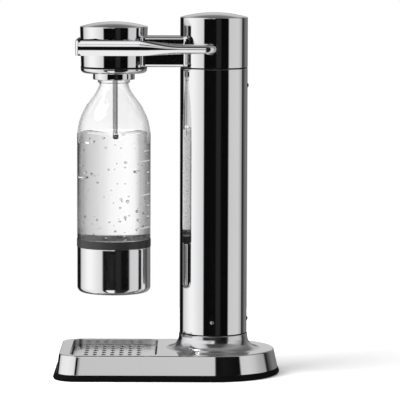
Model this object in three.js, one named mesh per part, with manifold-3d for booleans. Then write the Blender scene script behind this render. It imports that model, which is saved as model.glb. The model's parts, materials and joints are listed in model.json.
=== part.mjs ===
import * as THREE from 'three';
import { mergeVertices } from 'three/addons/utils/BufferGeometryUtils.js';
import Module from 'manifold-3d';

const wasm = await Module();
wasm.setup();

// Sparkling water maker. Sizes are millimetres and +Z is up. The origin lies under the
// middle of the foot pad, the bottle stands on the -X side and the column on the +X side.

// Clearance between fitted pieces, and how far a cutting solid runs past what it cuts
const fitGap = 0.3;
const cutOverrun = 1;

// Layout of the two upright axes
const columnX = 52.5;
const headReach = 113.6;
const headX = columnX - headReach;

// Foot pad under the base
const padHeight = 7.2;
const padHalfWidth = 76;
const padFront = 128.5;
const padCornerRadius = 26.5;
const padBottomRound = 3;
const padLip = 0.3;
const wellGap = 3;

// Stamped steel base shell
const shellWall = 1.5;
const shellFootHalfWidth = 74;
const shellFootFront = 124.2;
const shellTopHalfWidth = 69.25;
const shellTopFront = 121.9;
const shellCornerRadius = 23;
const shellHeight = 21.6;
const shellTopZ = padHeight + shellHeight;
const shellEdgeRadius = 1.3;
const collarRadius = 39.2;
const flareRadius = 15;
const collarLip = 2.7;
const collarTopZ = shellTopZ + flareRadius + collarLip;

// Drip recess in the base shell and its perforated plate
const recessFrontMargin = 12.7;
const recessBackMargin = 9.9;
const recessSideMargin = 7.25;
const recessFrontX = recessFrontMargin - shellTopFront;
const recessBackX = columnX - collarRadius - flareRadius - recessBackMargin;
const recessHalfWidth = shellTopHalfWidth - recessSideMargin;
const recessCornerRadius = 10;
const recessDepth = 6.3;
const recessLedge = 4;
const basinDepth = 9.2;
const plateThickness = 1.2;
const plateGapFront = 1.7;
const plateGapBack = 3;
const plateGapSide = 2;
const slotFieldLead = 1.45;
const slotPitchX = 10;
const slotPitchY = 16;
const slotColumns = 7;
const slotRows = 7;
const slotWidth = 4.4;
const slotLength = 10.5;

// Frame plate inside the base and the screws from below
const framePlate = 2;
const frameBossRadius = 6;
const frameBossSpreadX = 30;
const frameBossSpreadY = 40;
const footFlangeWidth = 15.3;
const footFlangeHeight = 6;
const footSpigotRise = 18.9;
const screwRadius = 1.6;
const screwHeadRadius = 3;
const screwHeadHeight = 2;
const screwLength = 8;

// Column tube
const columnRadius = 38.4;
const columnWall = 1.2;
const columnHeight = 301.4;
const sealHeight = 1;
const seamHeight = 1.5;
const tubeBottomZ = collarTopZ + sealHeight;
const columnTopZ = tubeBottomZ + columnHeight;
const housingFootZ = columnTopZ + seamHeight;
const sealInset = 0.3;
const bumperRadius = 2.6;
const bumperRise = 1.4;
const bumperLowRise = 15.3;
const bumperHighDrop = 19.3;
const pinRadius = 2.25;
const pinRise = 1;
const pinRiseFromFoot = 14.7;
const pinLead = 1.5;
const buttonStemRadius = 1.4;

// Gas cylinder and its valve
const flaskRadius = 30;
const flaskWall = 2.6;
const flaskLift = 1.5;
const flaskTopDrop = 23.7;
const flaskNeckHeight = 8;
const flaskShoulderRise = 22;
const flaskNeckRadius = 13;
const flaskBottomZ = padHeight + flaskLift;
const flaskTopZ = columnTopZ - flaskTopDrop;
const flaskShoulderZ = flaskTopZ - flaskNeckHeight - flaskShoulderRise;
const flaskFootRadius = 4;
const flaskGuideGap = 0.5;
const flaskBoreRadius = 9.6;
const guideDrop = 77.7;
const guideHeight = 8;
const valveFlangeRadius = 13.4;
const valveFlangeHeight = 5;
const valveThreadRadius = 10.3;
const valveHeight = 18;
const valveStemDepth = 16;
const valveBoreRadius = 2.2;
const valvePinRadius = 1.6;
const valvePinLength = 17;
const valvePinRise = 1.2;

// Valve block under the top housing
const adapterSkirt = 14;
const adapterSpigot = 2.4;
const adapterWall = 4.7;
const adapterLedge = 5;
const adapterLedgeHeight = 4;
const blockFlangeHeight = 2;
const blockGap = 2;
const blockRise = 7.7;
const blockNeckRadius = 20;
const washerRadius = 9.8;
const washerHeight = 2;
const plungerRadius = 2.2;
const tappetRadius = 9.4;
const tappetHeight = 2.4;
const springWireRadius = 0.55;
const springRadius = 4.6;
const springTurns = 3;
const springSeatDepth = 6;

// Top housing: one steel shell over the column, the bridge and the head
const housingWall = 1.5;
const columnDrumHeight = 56.8;
const housingDomeRise = 5;
const rimRadius = 1.3;
const headRadius = 38.45;
const headFootRadius = 37.4;
const headDrumHeight = 45.9;
const headDomeRise = 5.2;
const bridgeHalfWidth = 20;
const bridgeLift = 0.3;
const bridgeHeight = 34.6;
const bridgeFillet = 6;
const bridgeEdgeRadius = 3;
const bossRadius = 3.6;
const bossInset = 9.3;

// Trim ring, socket and nozzle under the head
const headSeamProud = 0.4;
const trimProud = 0.2;
const trimBandHeight = 1.7;
const trimHeight = 5.9;
const trimRound = 5.6;
const trimSpigotHeight = 6;
const socketRadius = 23.75;
const socketDrop = 7.2;
const socketEdgeRadius = 0.8;
const nozzleFlangeHeight = 4;
const nozzleFlangeInset = 0.5;
const nozzleNeckRadius = 15;
const nozzleNeckHeight = 19.7;
const gasketHeight = 3;
const nozzleLead = 1.5;
const nozzleRadius = 2.8;
const nozzleBore = 1.5;
const nozzleReach = 74.8;
const nozzleTipLength = 6;
const nozzleTipRadius = 2.5;
const nozzleTipBore = 0.7;

// Gas tube through the bridge
const tubeRadius = 2;
const tubeBore = 1.1;
const tubeLowDrop = 2.8;
const tubeHighDrop = 10;

// Relief valve on top of the nozzle block
const reliefRadius = 6.5;
const reliefHeight = 12;
const reliefWall = 1.4;
const poppetRadius = 3.4;
const poppetHeight = 3;
const poppetStemRadius = 1.2;
const poppetLift = 1.5;
const reliefSpringRadius = 2.7;

// Lever: a flat bail round the head that turns into two round rods
const pivotLead = 2.5;
const pivotRise = 21.5;
const leverFrontRise = 1.1;
const leverFrontGap = 1.85;
const leverRodGap = 1;
const leverCornerRadius = 3.2;
const leverFlatHeight = 17.1;
const leverFlatThickness = 1.9;
const leverCrown = 1.45;
const leverRodRadius = 5.4;
const leverTaperStart = 27.1;
const leverTaperLength = 50;
const leverBendRadius = 6.5;
const leverEndInset = 9.2;
const bushingRadius = 7.6;
const bushingDepth = 4.5;
const shaftRadius = 4;
const camRadius = 9;
const camOffset = 6;
const camHalfWidth = 5;

// Bottle, its band and its steel foot
const bottleRadius = 41.8;
const bottleWall = 2;
const neckInsert = 12.5;
const neckRadius = 16.8;
const beadProud = 1.4;
const beadGap = 0.5;
const beadHeight = 3;
const neckFootDrop = 3;
const shoulderHeight = 55.3;
const bottleHeight = 255.3;
const bottleShoulderRadiusShares = [0.1, 0.24, 0.42, 0.584, 0.712, 0.82, 0.904, 0.952, 0.988];
const bottleShoulderHeightShares = [0.895, 0.79, 0.68, 0.575, 0.465, 0.36, 0.25, 0.145, 0.04];
const bandHeight = 9;
const bandProud = 0.4;
const cupHeight = 52.1;
const cupWall = 1;
const cupCornerRadius = 6.5;

// Places worked out from the sizes above
const wellRadius = flaskRadius + wellGap;
const spigotRadius = columnRadius - columnWall - fitGap;
const footFlangeRadius = spigotRadius + footFlangeWidth;
const footScrewCircle = (footFlangeRadius + spigotRadius) / 2;
const footSpigotTopZ = tubeBottomZ + footSpigotRise;
const bumperLowZ = tubeBottomZ + bumperLowRise;
const bumperHighZ = columnTopZ - bumperHighDrop;
const pinZ = tubeBottomZ + pinRiseFromFoot;
const guideZ = columnTopZ - guideDrop;
const valveTopZ = flaskTopZ + valveHeight;
const adapterBore = spigotRadius - adapterWall;
const adapterLedgeBore = adapterBore - adapterLedge;
const blockBottomZ = flaskTopZ + valveFlangeHeight + blockGap;
const blockTopZ = housingFootZ + blockRise;
const housingRimZ = housingFootZ + columnDrumHeight;
const headRimZ = housingFootZ + headDrumHeight;
const bridgeBottomZ = housingFootZ + bridgeLift;
const bridgeTopZ = bridgeBottomZ + bridgeHeight;
const bossCircle = headFootRadius - bossInset;
const trimRadius = headFootRadius + trimProud;
const trimFlatRadius = trimRadius - trimRound;
const trimBottomZ = columnTopZ - trimHeight;
const trimSpigotRadius = headFootRadius - housingWall - fitGap;
const trimSpigotTopZ = housingFootZ + trimSpigotHeight;
const socketBottomZ = trimBottomZ - socketDrop;
const nozzleFlangeRadius = trimSpigotRadius - nozzleFlangeInset;
const nozzleFlangeTopZ = trimSpigotTopZ + nozzleFlangeHeight;
const nozzleBlockTopZ = nozzleFlangeTopZ + nozzleNeckHeight;
const tubeLowZ = blockTopZ - tubeLowDrop;
const tubeHighZ = nozzleBlockTopZ - tubeHighDrop;
const pivotX = columnX - pivotLead;
const pivotZ = housingFootZ + pivotRise;
const leverFrontX = headX - headRadius - leverFrontGap - leverFlatThickness / 2;
const leverFrontZ = pivotZ + leverFrontRise;
const leverArmY = columnRadius + leverRodRadius + leverRodGap;
const leverEndY = columnRadius - leverEndInset;
const leverTaperFrontX = headX + leverTaperStart;
const leverTaperBackX = leverTaperFrontX + leverTaperLength;
const bottleTopZ = socketBottomZ + neckInsert;
const nozzleBottomZ = bottleTopZ - nozzleReach;
const beadRadius = neckRadius + beadProud;
const beadTopZ = socketBottomZ - beadGap;
const beadBottomZ = beadTopZ - beadHeight;
const neckFootZ = beadBottomZ - neckFootDrop;
const shoulderFootZ = neckFootZ - shoulderHeight;
const cupBottomZ = bottleTopZ - bottleHeight;
const bandRadius = bottleRadius + bandProud;

// Facet counts
const wideSegments = 28;
const midSegments = 16;
const smallSegments = 8;
const bearingSegments = 12;
const backSteps = 18;
const cornerSteps = 3;
const roundSteps = 2;
const domeSteps = 3;
const bottleSegments = 24;
const leverSides = 10;
const wireSides = 4;
const tubeSides = 6;

// Materials
const polishedSteel = { color: 0xd9dadb, roughness: 0.12, metalness: 1 };
const satinSteel = { color: 0xc4c6c8, roughness: 0.35, metalness: 1 };
const brass = { color: 0xc9a45c, roughness: 0.3, metalness: 1 };
const aluminium = { color: 0xb9bcc0, roughness: 0.4, metalness: 0.9 };
const blackRubber = { color: 0x161616, roughness: 0.8, metalness: 0 };
const blackPlastic = { color: 0x1d1d1f, roughness: 0.5, metalness: 0 };
const greyPlastic = { color: 0x8c9094, roughness: 0.45, metalness: 0 };
const clearPlastic = { color: 0xe9eef0, roughness: 0.05, metalness: 0, transparent: true, opacity: 0.35 };

const machine = new THREE.Group();

function solidOf(geometry) {
  const bare = geometry.clone();
  bare.deleteAttribute('normal');
  bare.deleteAttribute('uv');
  const merged = mergeVertices(bare);
  const positions = merged.attributes.position.array;
  const corners = merged.index.array;
  const kept = [];
  let volume = 0;
  for (let i = 0; i < corners.length; i += 3) {
    const [a, b, c] = [corners[i], corners[i + 1], corners[i + 2]];
    if (a === b || b === c || c === a) continue;
    kept.push(a, b, c);
    const va = new THREE.Vector3().fromArray(positions, a * 3);
    const vb = new THREE.Vector3().fromArray(positions, b * 3);
    const vc = new THREE.Vector3().fromArray(positions, c * 3);
    volume += va.dot(vb.cross(vc));
  }
  if (volume < 0) kept.reverse();
  const mesh = new wasm.Mesh({
    numProp: 3,
    vertProperties: new Float32Array(positions),
    triVerts: new Uint32Array(kept),
  });
  return new wasm.Manifold(mesh);
}

function geometryOf(solid) {
  const mesh = solid.getMesh();
  const geometry = new THREE.BufferGeometry();
  geometry.setAttribute('position', new THREE.BufferAttribute(mesh.vertProperties.slice(), 3));
  geometry.setIndex(new THREE.BufferAttribute(mesh.triVerts.slice(), 1));
  geometry.computeVertexNormals();
  return geometry;
}

function addPart(name, solid, look) {
  const mesh = new THREE.Mesh(geometryOf(solid), new THREE.MeshStandardMaterial(look));
  mesh.name = name;
  machine.add(mesh);
}

// A body turned about the upright axis at (x, y) from a profile of [radius, z] points.
function turned(profile, segments, x = 0, y = 0) {
  const points = profile.map(([radius, z]) => new THREE.Vector2(radius, z));
  const geometry = new THREE.LatheGeometry(points, segments);
  geometry.rotateX(Math.PI / 2);
  geometry.translate(x, y, 0);
  return solidOf(geometry);
}

// A ring's closed profile, or a disc's when the inner radius is zero.
function ring(outer, inner, bottom, top, segments, x = 0, y = 0) {
  const profile = [[inner, bottom], [outer, bottom], [outer, top], [inner, top]];
  if (inner > 0) profile.push([inner, bottom]);
  return turned(profile, segments, x, y);
}

// Points on a quarter arc, from angle to angle, about [radius, z].
function arc(centreRadius, centreZ, size, from, to, steps) {
  const points = [];
  for (let i = 0; i <= steps; i += 1) {
    const angle = from + (to - from) * i / steps;
    points.push([centreRadius + size * Math.cos(angle), centreZ + size * Math.sin(angle)]);
  }
  return points;
}

// Turns an upright body so that its axis lies along +X or along +Y.
function laidAlongX(solid, x, y, z) {
  const geometry = geometryOf(solid);
  geometry.rotateY(Math.PI / 2);
  geometry.translate(x, y, z);
  return solidOf(geometry);
}

function laidAlongY(solid, x, y, z) {
  const geometry = geometryOf(solid);
  geometry.rotateX(-Math.PI / 2);
  geometry.translate(x, y, z);
  return solidOf(geometry);
}

// Block with rounded upright corners.
function roundedBlock(x0, x1, halfWidth, corner, z0, z1) {
  const shape = new THREE.Shape();
  shape.moveTo(x0 + corner, -halfWidth);
  shape.absarc(x1 - corner, corner - halfWidth, corner, -Math.PI / 2, 0, false);
  shape.absarc(x1 - corner, halfWidth - corner, corner, 0, Math.PI / 2, false);
  shape.absarc(x0 + corner, halfWidth - corner, corner, Math.PI / 2, Math.PI, false);
  shape.absarc(x0 + corner, corner - halfWidth, corner, Math.PI, 1.5 * Math.PI, false);
  const geometry = new THREE.ExtrudeGeometry(shape, {
    depth: z1 - z0, bevelEnabled: false, curveSegments: cornerSteps,
  });
  geometry.translate(0, 0, z0);
  return solidOf(geometry);
}

// D-shaped footprint: a half circle round the column axis, straight sides, square front.
function footprint(halfWidth, front, corner) {
  const points = [];
  for (let i = 0; i <= backSteps; i += 1) {
    const angle = Math.PI * (i / backSteps - 0.5);
    points.push([columnX + halfWidth * Math.cos(angle), halfWidth * Math.sin(angle)]);
  }
  for (const side of [1, -1]) {
    for (let i = 0; i <= cornerSteps; i += 1) {
      const turn = side > 0 ? i / cornerSteps : 1 - i / cornerSteps;
      const angle = Math.PI / 2 * (1 + turn);
      const x = corner - front + corner * Math.cos(angle);
      points.push([x, side * (halfWidth - corner + corner * Math.sin(angle))]);
    }
  }
  return points;
}

// Skin through equal outlines at rising heights, closed at both ends.
function lofted(sections) {
  const count = sections[0].outline.length;
  const positions = [];
  const corners = [];
  sections.forEach(({ outline, z }) => outline.forEach(([x, y]) => positions.push(x, y, z)));
  positions.push(0, 0, sections[0].z, 0, 0, sections[sections.length - 1].z);
  const bottom = sections.length * count;
  const last = bottom - count;
  for (let i = 0; i < count; i += 1) {
    const next = (i + 1) % count;
    for (let row = 0; row + 1 < sections.length; row += 1) {
      const low = row * count;
      corners.push(low + i, low + next, low + count + next);
      corners.push(low + i, low + count + next, low + count + i);
    }
    corners.push(bottom, next, i);
    corners.push(bottom + 1, last + i, last + next);
  }
  const geometry = new THREE.BufferGeometry();
  geometry.setAttribute('position', new THREE.Float32BufferAttribute(positions, 3));
  geometry.setIndex(corners);
  return solidOf(geometry);
}

// Outline of the shell's outside at a height, set in by a distance.
function shellOutline(z, inset) {
  const share = (z - padHeight) / (shellTopZ - padHeight);
  const halfWidth = shellFootHalfWidth + (shellTopHalfWidth - shellFootHalfWidth) * share;
  const front = shellFootFront + (shellTopFront - shellFootFront) * share;
  return footprint(halfWidth - inset, front - inset, shellCornerRadius - inset);
}

function shellBody(inset, bottomZ) {
  const top = shellTopZ - inset;
  const edge = shellEdgeRadius;
  const sections = [{ outline: shellOutline(bottomZ, inset), z: bottomZ }];
  for (let i = 0; i <= roundSteps; i += 1) {
    const angle = Math.PI / 2 * i / roundSteps;
    const z = top - edge + edge * Math.sin(angle);
    sections.push({ outline: shellOutline(z, inset + edge * (1 - Math.cos(angle))), z });
  }
  return lofted(sections);
}

// The flare that rises from the base top to the column, solid to the axis.
function flareBody(inset, topZ) {
  const size = flareRadius + inset;
  const radius = collarRadius - inset;
  const centreZ = shellTopZ + flareRadius;
  const curve = arc(radius + size, centreZ, size, Math.PI, 1.5 * Math.PI, domeSteps);
  const low = centreZ - size;
  const foot = low - shellWall;
  const profile = [[0, topZ], [radius, topZ], ...curve, [radius + size, foot], [0, foot]];
  return turned(profile, wideSegments, columnX);
}

const recessFloorZ = shellTopZ - recessDepth - plateThickness;
const basinFloorZ = recessFloorZ - basinDepth;

function recessBody(grow) {
  const upper = roundedBlock(
    recessFrontX - grow, recessBackX + grow, recessHalfWidth + grow,
    recessCornerRadius + grow, recessFloorZ - grow, shellTopZ + cutOverrun,
  );
  const lower = roundedBlock(
    recessFrontX + recessLedge - grow, recessBackX - recessLedge + grow,
    recessHalfWidth - recessLedge + grow, recessCornerRadius - recessLedge + grow,
    basinFloorZ - grow, recessFloorZ,
  );
  return upper.add(lower);
}

function baseShell() {
  const outside = shellBody(0, padHeight).add(flareBody(0, collarTopZ));
  const inside = shellBody(shellWall, padHeight - cutOverrun);
  const hollow = inside.add(flareBody(shellWall, collarTopZ + cutOverrun));
  return outside.subtract(hollow.subtract(recessBody(shellWall))).subtract(recessBody(0));
}

function footScrewPlaces() {
  const places = [];
  for (const sideX of [-1, 1]) {
    for (const sideY of [-1, 1]) {
      const reach = footScrewCircle * Math.SQRT1_2;
      places.push([columnX + sideX * reach, sideY * reach]);
    }
  }
  return places;
}

function frameBossPlaces() {
  const centre = (recessFrontX + recessBackX) / 2;
  const places = [];
  for (const sideX of [-1, 1]) {
    for (const sideY of [-1, 1]) {
      places.push([centre + sideX * frameBossSpreadX, sideY * frameBossSpreadY]);
    }
  }
  return places;
}

function footPad() {
  const sections = [];
  for (let i = 0; i <= roundSteps; i += 1) {
    const angle = Math.PI / 2 * (i / roundSteps - 1);
    const inset = padBottomRound * (1 - Math.cos(angle));
    const z = padBottomRound * (1 + Math.sin(angle));
    sections.push({ outline: padOutline(inset), z });
  }
  sections.push({ outline: padTopOutline(), z: padHeight });
  let pad = lofted(sections);
  pad = pad.subtract(
    ring(wellRadius, 0, -cutOverrun, padHeight + cutOverrun, midSegments, columnX),
  );
  for (const [x, y] of footScrewPlaces()) {
    const radius = screwHeadRadius + fitGap;
    pad = pad.subtract(ring(radius, 0, -cutOverrun, padHeight + cutOverrun, smallSegments, x, y));
  }
  return pad;
}

function padOutline(inset) {
  return footprint(padHalfWidth - inset, padFront - inset, padCornerRadius - inset);
}

// The pad's flank slopes in to a narrow lip round the foot of the steel shell.
function padTopOutline() {
  return footprint(shellFootHalfWidth + padLip, shellFootFront + padLip, shellCornerRadius + padLip);
}

const frameTopZ = padHeight + framePlate;

// Steel plate that closes the base shell from below, with bosses under the drip recess.
function baseFrame() {
  const outline = shellOutline(frameTopZ, shellWall + fitGap);
  let plate = lofted([{ outline, z: padHeight }, { outline, z: frameTopZ }]);
  for (const [x, y] of frameBossPlaces()) {
    const top = basinFloorZ - shellWall;
    plate = plate.add(ring(frameBossRadius, 0, padHeight, top, smallSegments, x, y));
  }
  plate = plate.subtract(
    ring(wellRadius, 0, padHeight - cutOverrun, frameTopZ + cutOverrun, midSegments, columnX),
  );
  for (const [x, y] of footScrewPlaces()) {
    const hole = ring(
      screwRadius + fitGap, 0, padHeight - cutOverrun, frameTopZ + cutOverrun, smallSegments, x, y,
    );
    plate = plate.subtract(hole);
  }
  return plate;
}

const footBore = flaskRadius + flaskGuideGap;

// Casting that ties the column to the base plate and guides the gas cylinder.
function columnFoot() {
  const flangeTop = frameTopZ + footFlangeHeight;
  const profile = [
    [footBore, frameTopZ], [footFlangeRadius, frameTopZ], [footFlangeRadius, flangeTop],
    [spigotRadius, flangeTop], [spigotRadius, footSpigotTopZ], [footBore, footSpigotTopZ],
    [footBore, frameTopZ],
  ];
  let foot = turned(profile, midSegments, columnX);
  for (const [x, y] of footScrewPlaces()) {
    const top = padHeight + screwLength + fitGap;
    const radius = screwRadius + fitGap;
    foot = foot.subtract(ring(radius, 0, frameTopZ - cutOverrun, top, smallSegments, x, y));
  }
  for (const [z, azimuth] of buttonPlaces()) {
    const reach = spigotRadius + cutOverrun;
    foot = foot.subtract(buttonHole(z, azimuth, footBore - cutOverrun, reach));
  }
  return foot;
}

// Screw driven upwards, its head against the plate's underside.
function screw(x, y, seatZ, length) {
  const profile = [
    [0, seatZ - screwHeadHeight], [screwHeadRadius, seatZ - screwHeadHeight],
    [screwHeadRadius, seatZ], [screwRadius, seatZ], [screwRadius, seatZ + length],
    [0, seatZ + length],
  ];
  return turned(profile, smallSegments, x, y);
}

function dripPlate() {
  const top = recessFloorZ + plateThickness;
  const halfWidth = recessHalfWidth - plateGapSide;
  let plate = roundedBlock(
    recessFrontX + plateGapFront, recessBackX - plateGapBack, halfWidth,
    recessCornerRadius - plateGapSide, recessFloorZ, top,
  );
  const middle = (recessFrontX + plateGapFront + recessBackX - plateGapBack) / 2;
  const centre = middle - slotFieldLead;
  const slots = [];
  for (let column = 0; column < slotColumns; column += 1) {
    const x = centre + (column - (slotColumns - 1) / 2) * slotPitchX;
    for (let row = 0; row < slotRows; row += 1) {
      const y = (row - (slotRows - 1) / 2) * slotPitchY;
      slots.push(slot(x, y, recessFloorZ - cutOverrun, top + cutOverrun));
    }
  }
  for (const hole of slots) plate = plate.subtract(hole);
  return plate;
}

// Round-ended slot, long along Y.
function slot(x, y, z0, z1) {
  const radius = slotWidth / 2;
  const reach = slotLength / 2 - radius;
  const shape = new THREE.Shape();
  shape.moveTo(x + radius, y - reach);
  shape.absarc(x, y + reach, radius, 0, Math.PI, false);
  shape.absarc(x, y - reach, radius, Math.PI, 2 * Math.PI, false);
  const geometry = new THREE.ExtrudeGeometry(shape, {
    depth: z1 - z0, bevelEnabled: false, curveSegments: 2,
  });
  geometry.translate(0, 0, z0);
  return solidOf(geometry);
}

const pinAngle = Math.acos(-pinLead / columnRadius);

// Height and bearing of each button on the column: two at the back, one at each side.
function buttonPlaces() {
  return [[bumperLowZ, 0], [bumperHighZ, 0], [pinZ, pinAngle], [pinZ, -pinAngle]];
}

function buttonHole(z, azimuth, from, to) {
  const hole = ring(buttonStemRadius + fitGap, 0, from, to, smallSegments);
  return turnedTo(laidAlongX(hole, 0, 0, z), azimuth);
}

function turnedTo(solid, azimuth) {
  const geometry = geometryOf(solid);
  geometry.rotateZ(azimuth);
  geometry.translate(columnX, 0, 0);
  return solidOf(geometry);
}

// Domed button with a stem that plugs into the column wall.
function button(radius, rise, z, azimuth) {
  const seat = Math.sqrt(columnRadius ** 2 - radius ** 2);
  const stem = columnRadius - columnWall;
  const dome = arc(0, columnRadius, 1, 0, Math.PI / 2, roundSteps).map(
    ([r, h]) => [r * radius, columnRadius + (h - columnRadius) * rise],
  );
  const profile = [[0, stem], [buttonStemRadius, stem], [buttonStemRadius, seat], [radius, seat], ...dome];
  profile[profile.length - 1][0] = 0;
  return turnedTo(laidAlongX(turned(profile, smallSegments), 0, 0, z), azimuth);
}

function columnTube() {
  let tube = ring(
    columnRadius, columnRadius - columnWall, tubeBottomZ, columnTopZ, wideSegments, columnX,
  );
  for (const [z, azimuth] of buttonPlaces()) {
    const from = columnRadius - columnWall - cutOverrun;
    tube = tube.subtract(buttonHole(z, azimuth, from, columnRadius + cutOverrun));
  }
  return tube;
}

// Button cut hollow so that it sits on the round tube.
function seatedButton(radius, rise, z, azimuth) {
  const body = button(radius, rise, z, azimuth);
  const wall = ring(
    columnRadius + fitGap / 3, columnRadius - columnWall - cutOverrun,
    z - 2 * radius, z + 2 * radius, wideSegments, columnX,
  );
  const stemRoom = buttonHole(z, azimuth, 0, columnRadius + cutOverrun);
  return body.subtract(wall.subtract(stemRoom));
}

function columnSeal() {
  const outer = columnRadius - sealInset;
  return ring(outer, columnRadius - columnWall, collarTopZ, tubeBottomZ, wideSegments, columnX);
}

function cylinderGuide() {
  return ring(spigotRadius, footBore, guideZ, guideZ + guideHeight, midSegments, columnX);
}

// Gas cylinder, hollow to its neck.
function gasFlask() {
  const foot = arc(
    flaskRadius - flaskFootRadius, flaskBottomZ + flaskFootRadius, flaskFootRadius,
    -Math.PI / 2, 0, roundSteps,
  );
  const shoulder = flaskShoulder(flaskRadius, flaskNeckRadius, flaskShoulderZ);
  const inside = flaskShoulder(flaskRadius - flaskWall, flaskBoreRadius, flaskShoulderZ - flaskWall);
  const profile = [
    [0, flaskBottomZ], ...foot, ...shoulder, [flaskNeckRadius, flaskTopZ],
    [flaskBoreRadius, flaskTopZ], ...inside.reverse(),
    [flaskRadius - flaskWall, flaskBottomZ + 2 * flaskWall], [0, flaskBottomZ + 2 * flaskWall],
  ];
  return turned(profile, midSegments, columnX);
}

function flaskShoulder(radius, neck, z) {
  return arc(0, 0, 1, 0, Math.PI / 2, domeSteps).map(
    ([r, h]) => [neck + (radius - neck) * r, z + flaskShoulderRise * h],
  );
}

// Cylinder valve: stem in the neck, flange, thread and a bore for the pin.
function gasValve() {
  const flangeTop = flaskTopZ + valveFlangeHeight;
  const stem = flaskBoreRadius - fitGap;
  const profile = [
    [valveBoreRadius, flaskTopZ - valveStemDepth], [stem, flaskTopZ - valveStemDepth],
    [stem, flaskTopZ], [valveFlangeRadius, flaskTopZ], [valveFlangeRadius, flangeTop],
    [valveThreadRadius, flangeTop], [valveThreadRadius, valveTopZ], [valveBoreRadius, valveTopZ],
    [valveBoreRadius, flaskTopZ - valveStemDepth],
  ];
  return turned(profile, smallSegments, columnX);
}

const pinTopZ = valveTopZ + valvePinRise;

function gasValvePin() {
  return ring(valvePinRadius, 0, pinTopZ - valvePinLength, pinTopZ, smallSegments, columnX);
}

// Ring that joins the column tube to the top housing and carries the valve block.
function headAdapter() {
  const ledgeBottom = housingFootZ - adapterLedgeHeight;
  const seam = columnRadius - sealInset;
  const spigot = columnRadius - housingWall - fitGap;
  const profile = [
    [adapterLedgeBore, ledgeBottom], [adapterBore, ledgeBottom],
    [adapterBore, columnTopZ - adapterSkirt], [spigotRadius, columnTopZ - adapterSkirt],
    [spigotRadius, columnTopZ], [seam, columnTopZ], [seam, housingFootZ], [spigot, housingFootZ],
    [spigot, housingFootZ + adapterSpigot], [adapterBore, housingFootZ + adapterSpigot],
    [adapterBore, housingFootZ], [adapterLedgeBore, housingFootZ], [adapterLedgeBore, ledgeBottom],
  ];
  return turned(profile, midSegments, columnX);
}

const washerBottomZ = valveTopZ + fitGap;
const washerTopZ = washerBottomZ + washerHeight;
const plungerBottomZ = pinTopZ + fitGap;
const plungerTopZ = pivotZ - camRadius - fitGap;

const springSeatZ = blockTopZ - springSeatDepth;

// Brass block: the cylinder valve screws in from below, the plunger comes through on top.
function valveBlock() {
  const flange = adapterBore - fitGap;
  const body = adapterLedgeBore - fitGap;
  const flangeTop = housingFootZ + blockFlangeHeight;
  const threadBore = valveThreadRadius + fitGap;
  const washerTop = washerTopZ + fitGap;
  const plungerBore = plungerRadius + fitGap;
  const springBore = springRadius + springWireRadius + fitGap;
  const profile = [
    [threadBore, blockBottomZ], [body, blockBottomZ], [body, housingFootZ], [flange, housingFootZ],
    [flange, flangeTop], [blockNeckRadius, flangeTop], [blockNeckRadius, blockTopZ],
    [springBore, blockTopZ], [springBore, springSeatZ], [plungerBore, springSeatZ],
    [plungerBore, washerTop], [threadBore, washerTop],
    [threadBore, blockBottomZ],
  ];
  const port = ring(
    tubeRadius + fitGap, 0, blockNeckRadius / 2, blockNeckRadius + cutOverrun, smallSegments,
  );
  const placed = laidAlongX(port, 0, 0, tubeLowZ);
  const bore = geometryOf(placed);
  bore.rotateZ(Math.PI);
  bore.translate(columnX, 0, 0);
  return turned(profile, midSegments, columnX).subtract(solidOf(bore));
}

function valveWasher() {
  const inner = plungerRadius + 2 * fitGap;
  return ring(washerRadius, inner, washerBottomZ, washerTopZ, smallSegments, columnX);
}

// Plunger with a flat tappet head under the cam.
function plunger() {
  const headBottom = plungerTopZ - tappetHeight;
  const profile = [
    [0, plungerBottomZ], [plungerRadius, plungerBottomZ], [plungerRadius, headBottom],
    [tappetRadius, headBottom], [tappetRadius, plungerTopZ], [0, plungerTopZ],
  ];
  return turned(profile, smallSegments, columnX);
}

class Helix extends THREE.Curve {
  constructor(radius, bottom, top, turns, x) {
    super();
    Object.assign(this, { radius, bottom, top, turns, x });
  }

  getPoint(t, target = new THREE.Vector3()) {
    const angle = 2 * Math.PI * this.turns * t;
    const z = this.bottom + (this.top - this.bottom) * t;
    return target.set(this.x + this.radius * Math.cos(angle), this.radius * Math.sin(angle), z);
  }
}

function coil(radius, wire, bottom, top, turns, x) {
  const section = new THREE.Shape();
  section.absarc(0, 0, wire, 0, 2 * Math.PI, false);
  const low = bottom + wire;
  const path = new Helix(radius, low, top - wire, turns, x);
  const geometry = new THREE.ExtrudeGeometry(section, {
    steps: 8 * turns, curveSegments: wireSides / 2, extrudePath: path,
  });
  return solidOf(geometry);
}

function plungerSpring() {
  const top = plungerTopZ - tappetHeight;
  return coil(springRadius, springWireRadius, springSeatZ, top, springTurns, columnX);
}

// Shallow dome over a round wall, as profile points from the wall to the axis.
function domeProfile(radius, rimZ, rise) {
  const points = arc(radius - rimRadius, rimZ - rimRadius, rimRadius, 0, Math.PI / 2, 2);
  const reach = radius - rimRadius;
  const sphere = (reach ** 2 + rise ** 2) / (2 * rise);
  for (let i = 1; i <= domeSteps; i += 1) {
    const r = reach * (1 - i / domeSteps);
    points.push([r, rimZ + rise - sphere + Math.sqrt(sphere ** 2 - r ** 2)]);
  }
  return points;
}

// Solid inside or outside of the dumbbell-shaped top, set in by a distance.
function housingBody(inset, footZ) {
  const column = turned(
    [[0, footZ], [columnRadius - inset, footZ],
      ...domeProfile(columnRadius - inset, housingRimZ - inset, housingDomeRise)],
    wideSegments, columnX,
  );
  const head = turned(
    [[0, footZ], [headFootRadius - inset, footZ],
      ...domeProfile(headRadius - inset, headRimZ - inset, headDomeRise)],
    wideSegments, headX,
  );
  return column.add(head).add(bridgeBody(inset));
}

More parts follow.
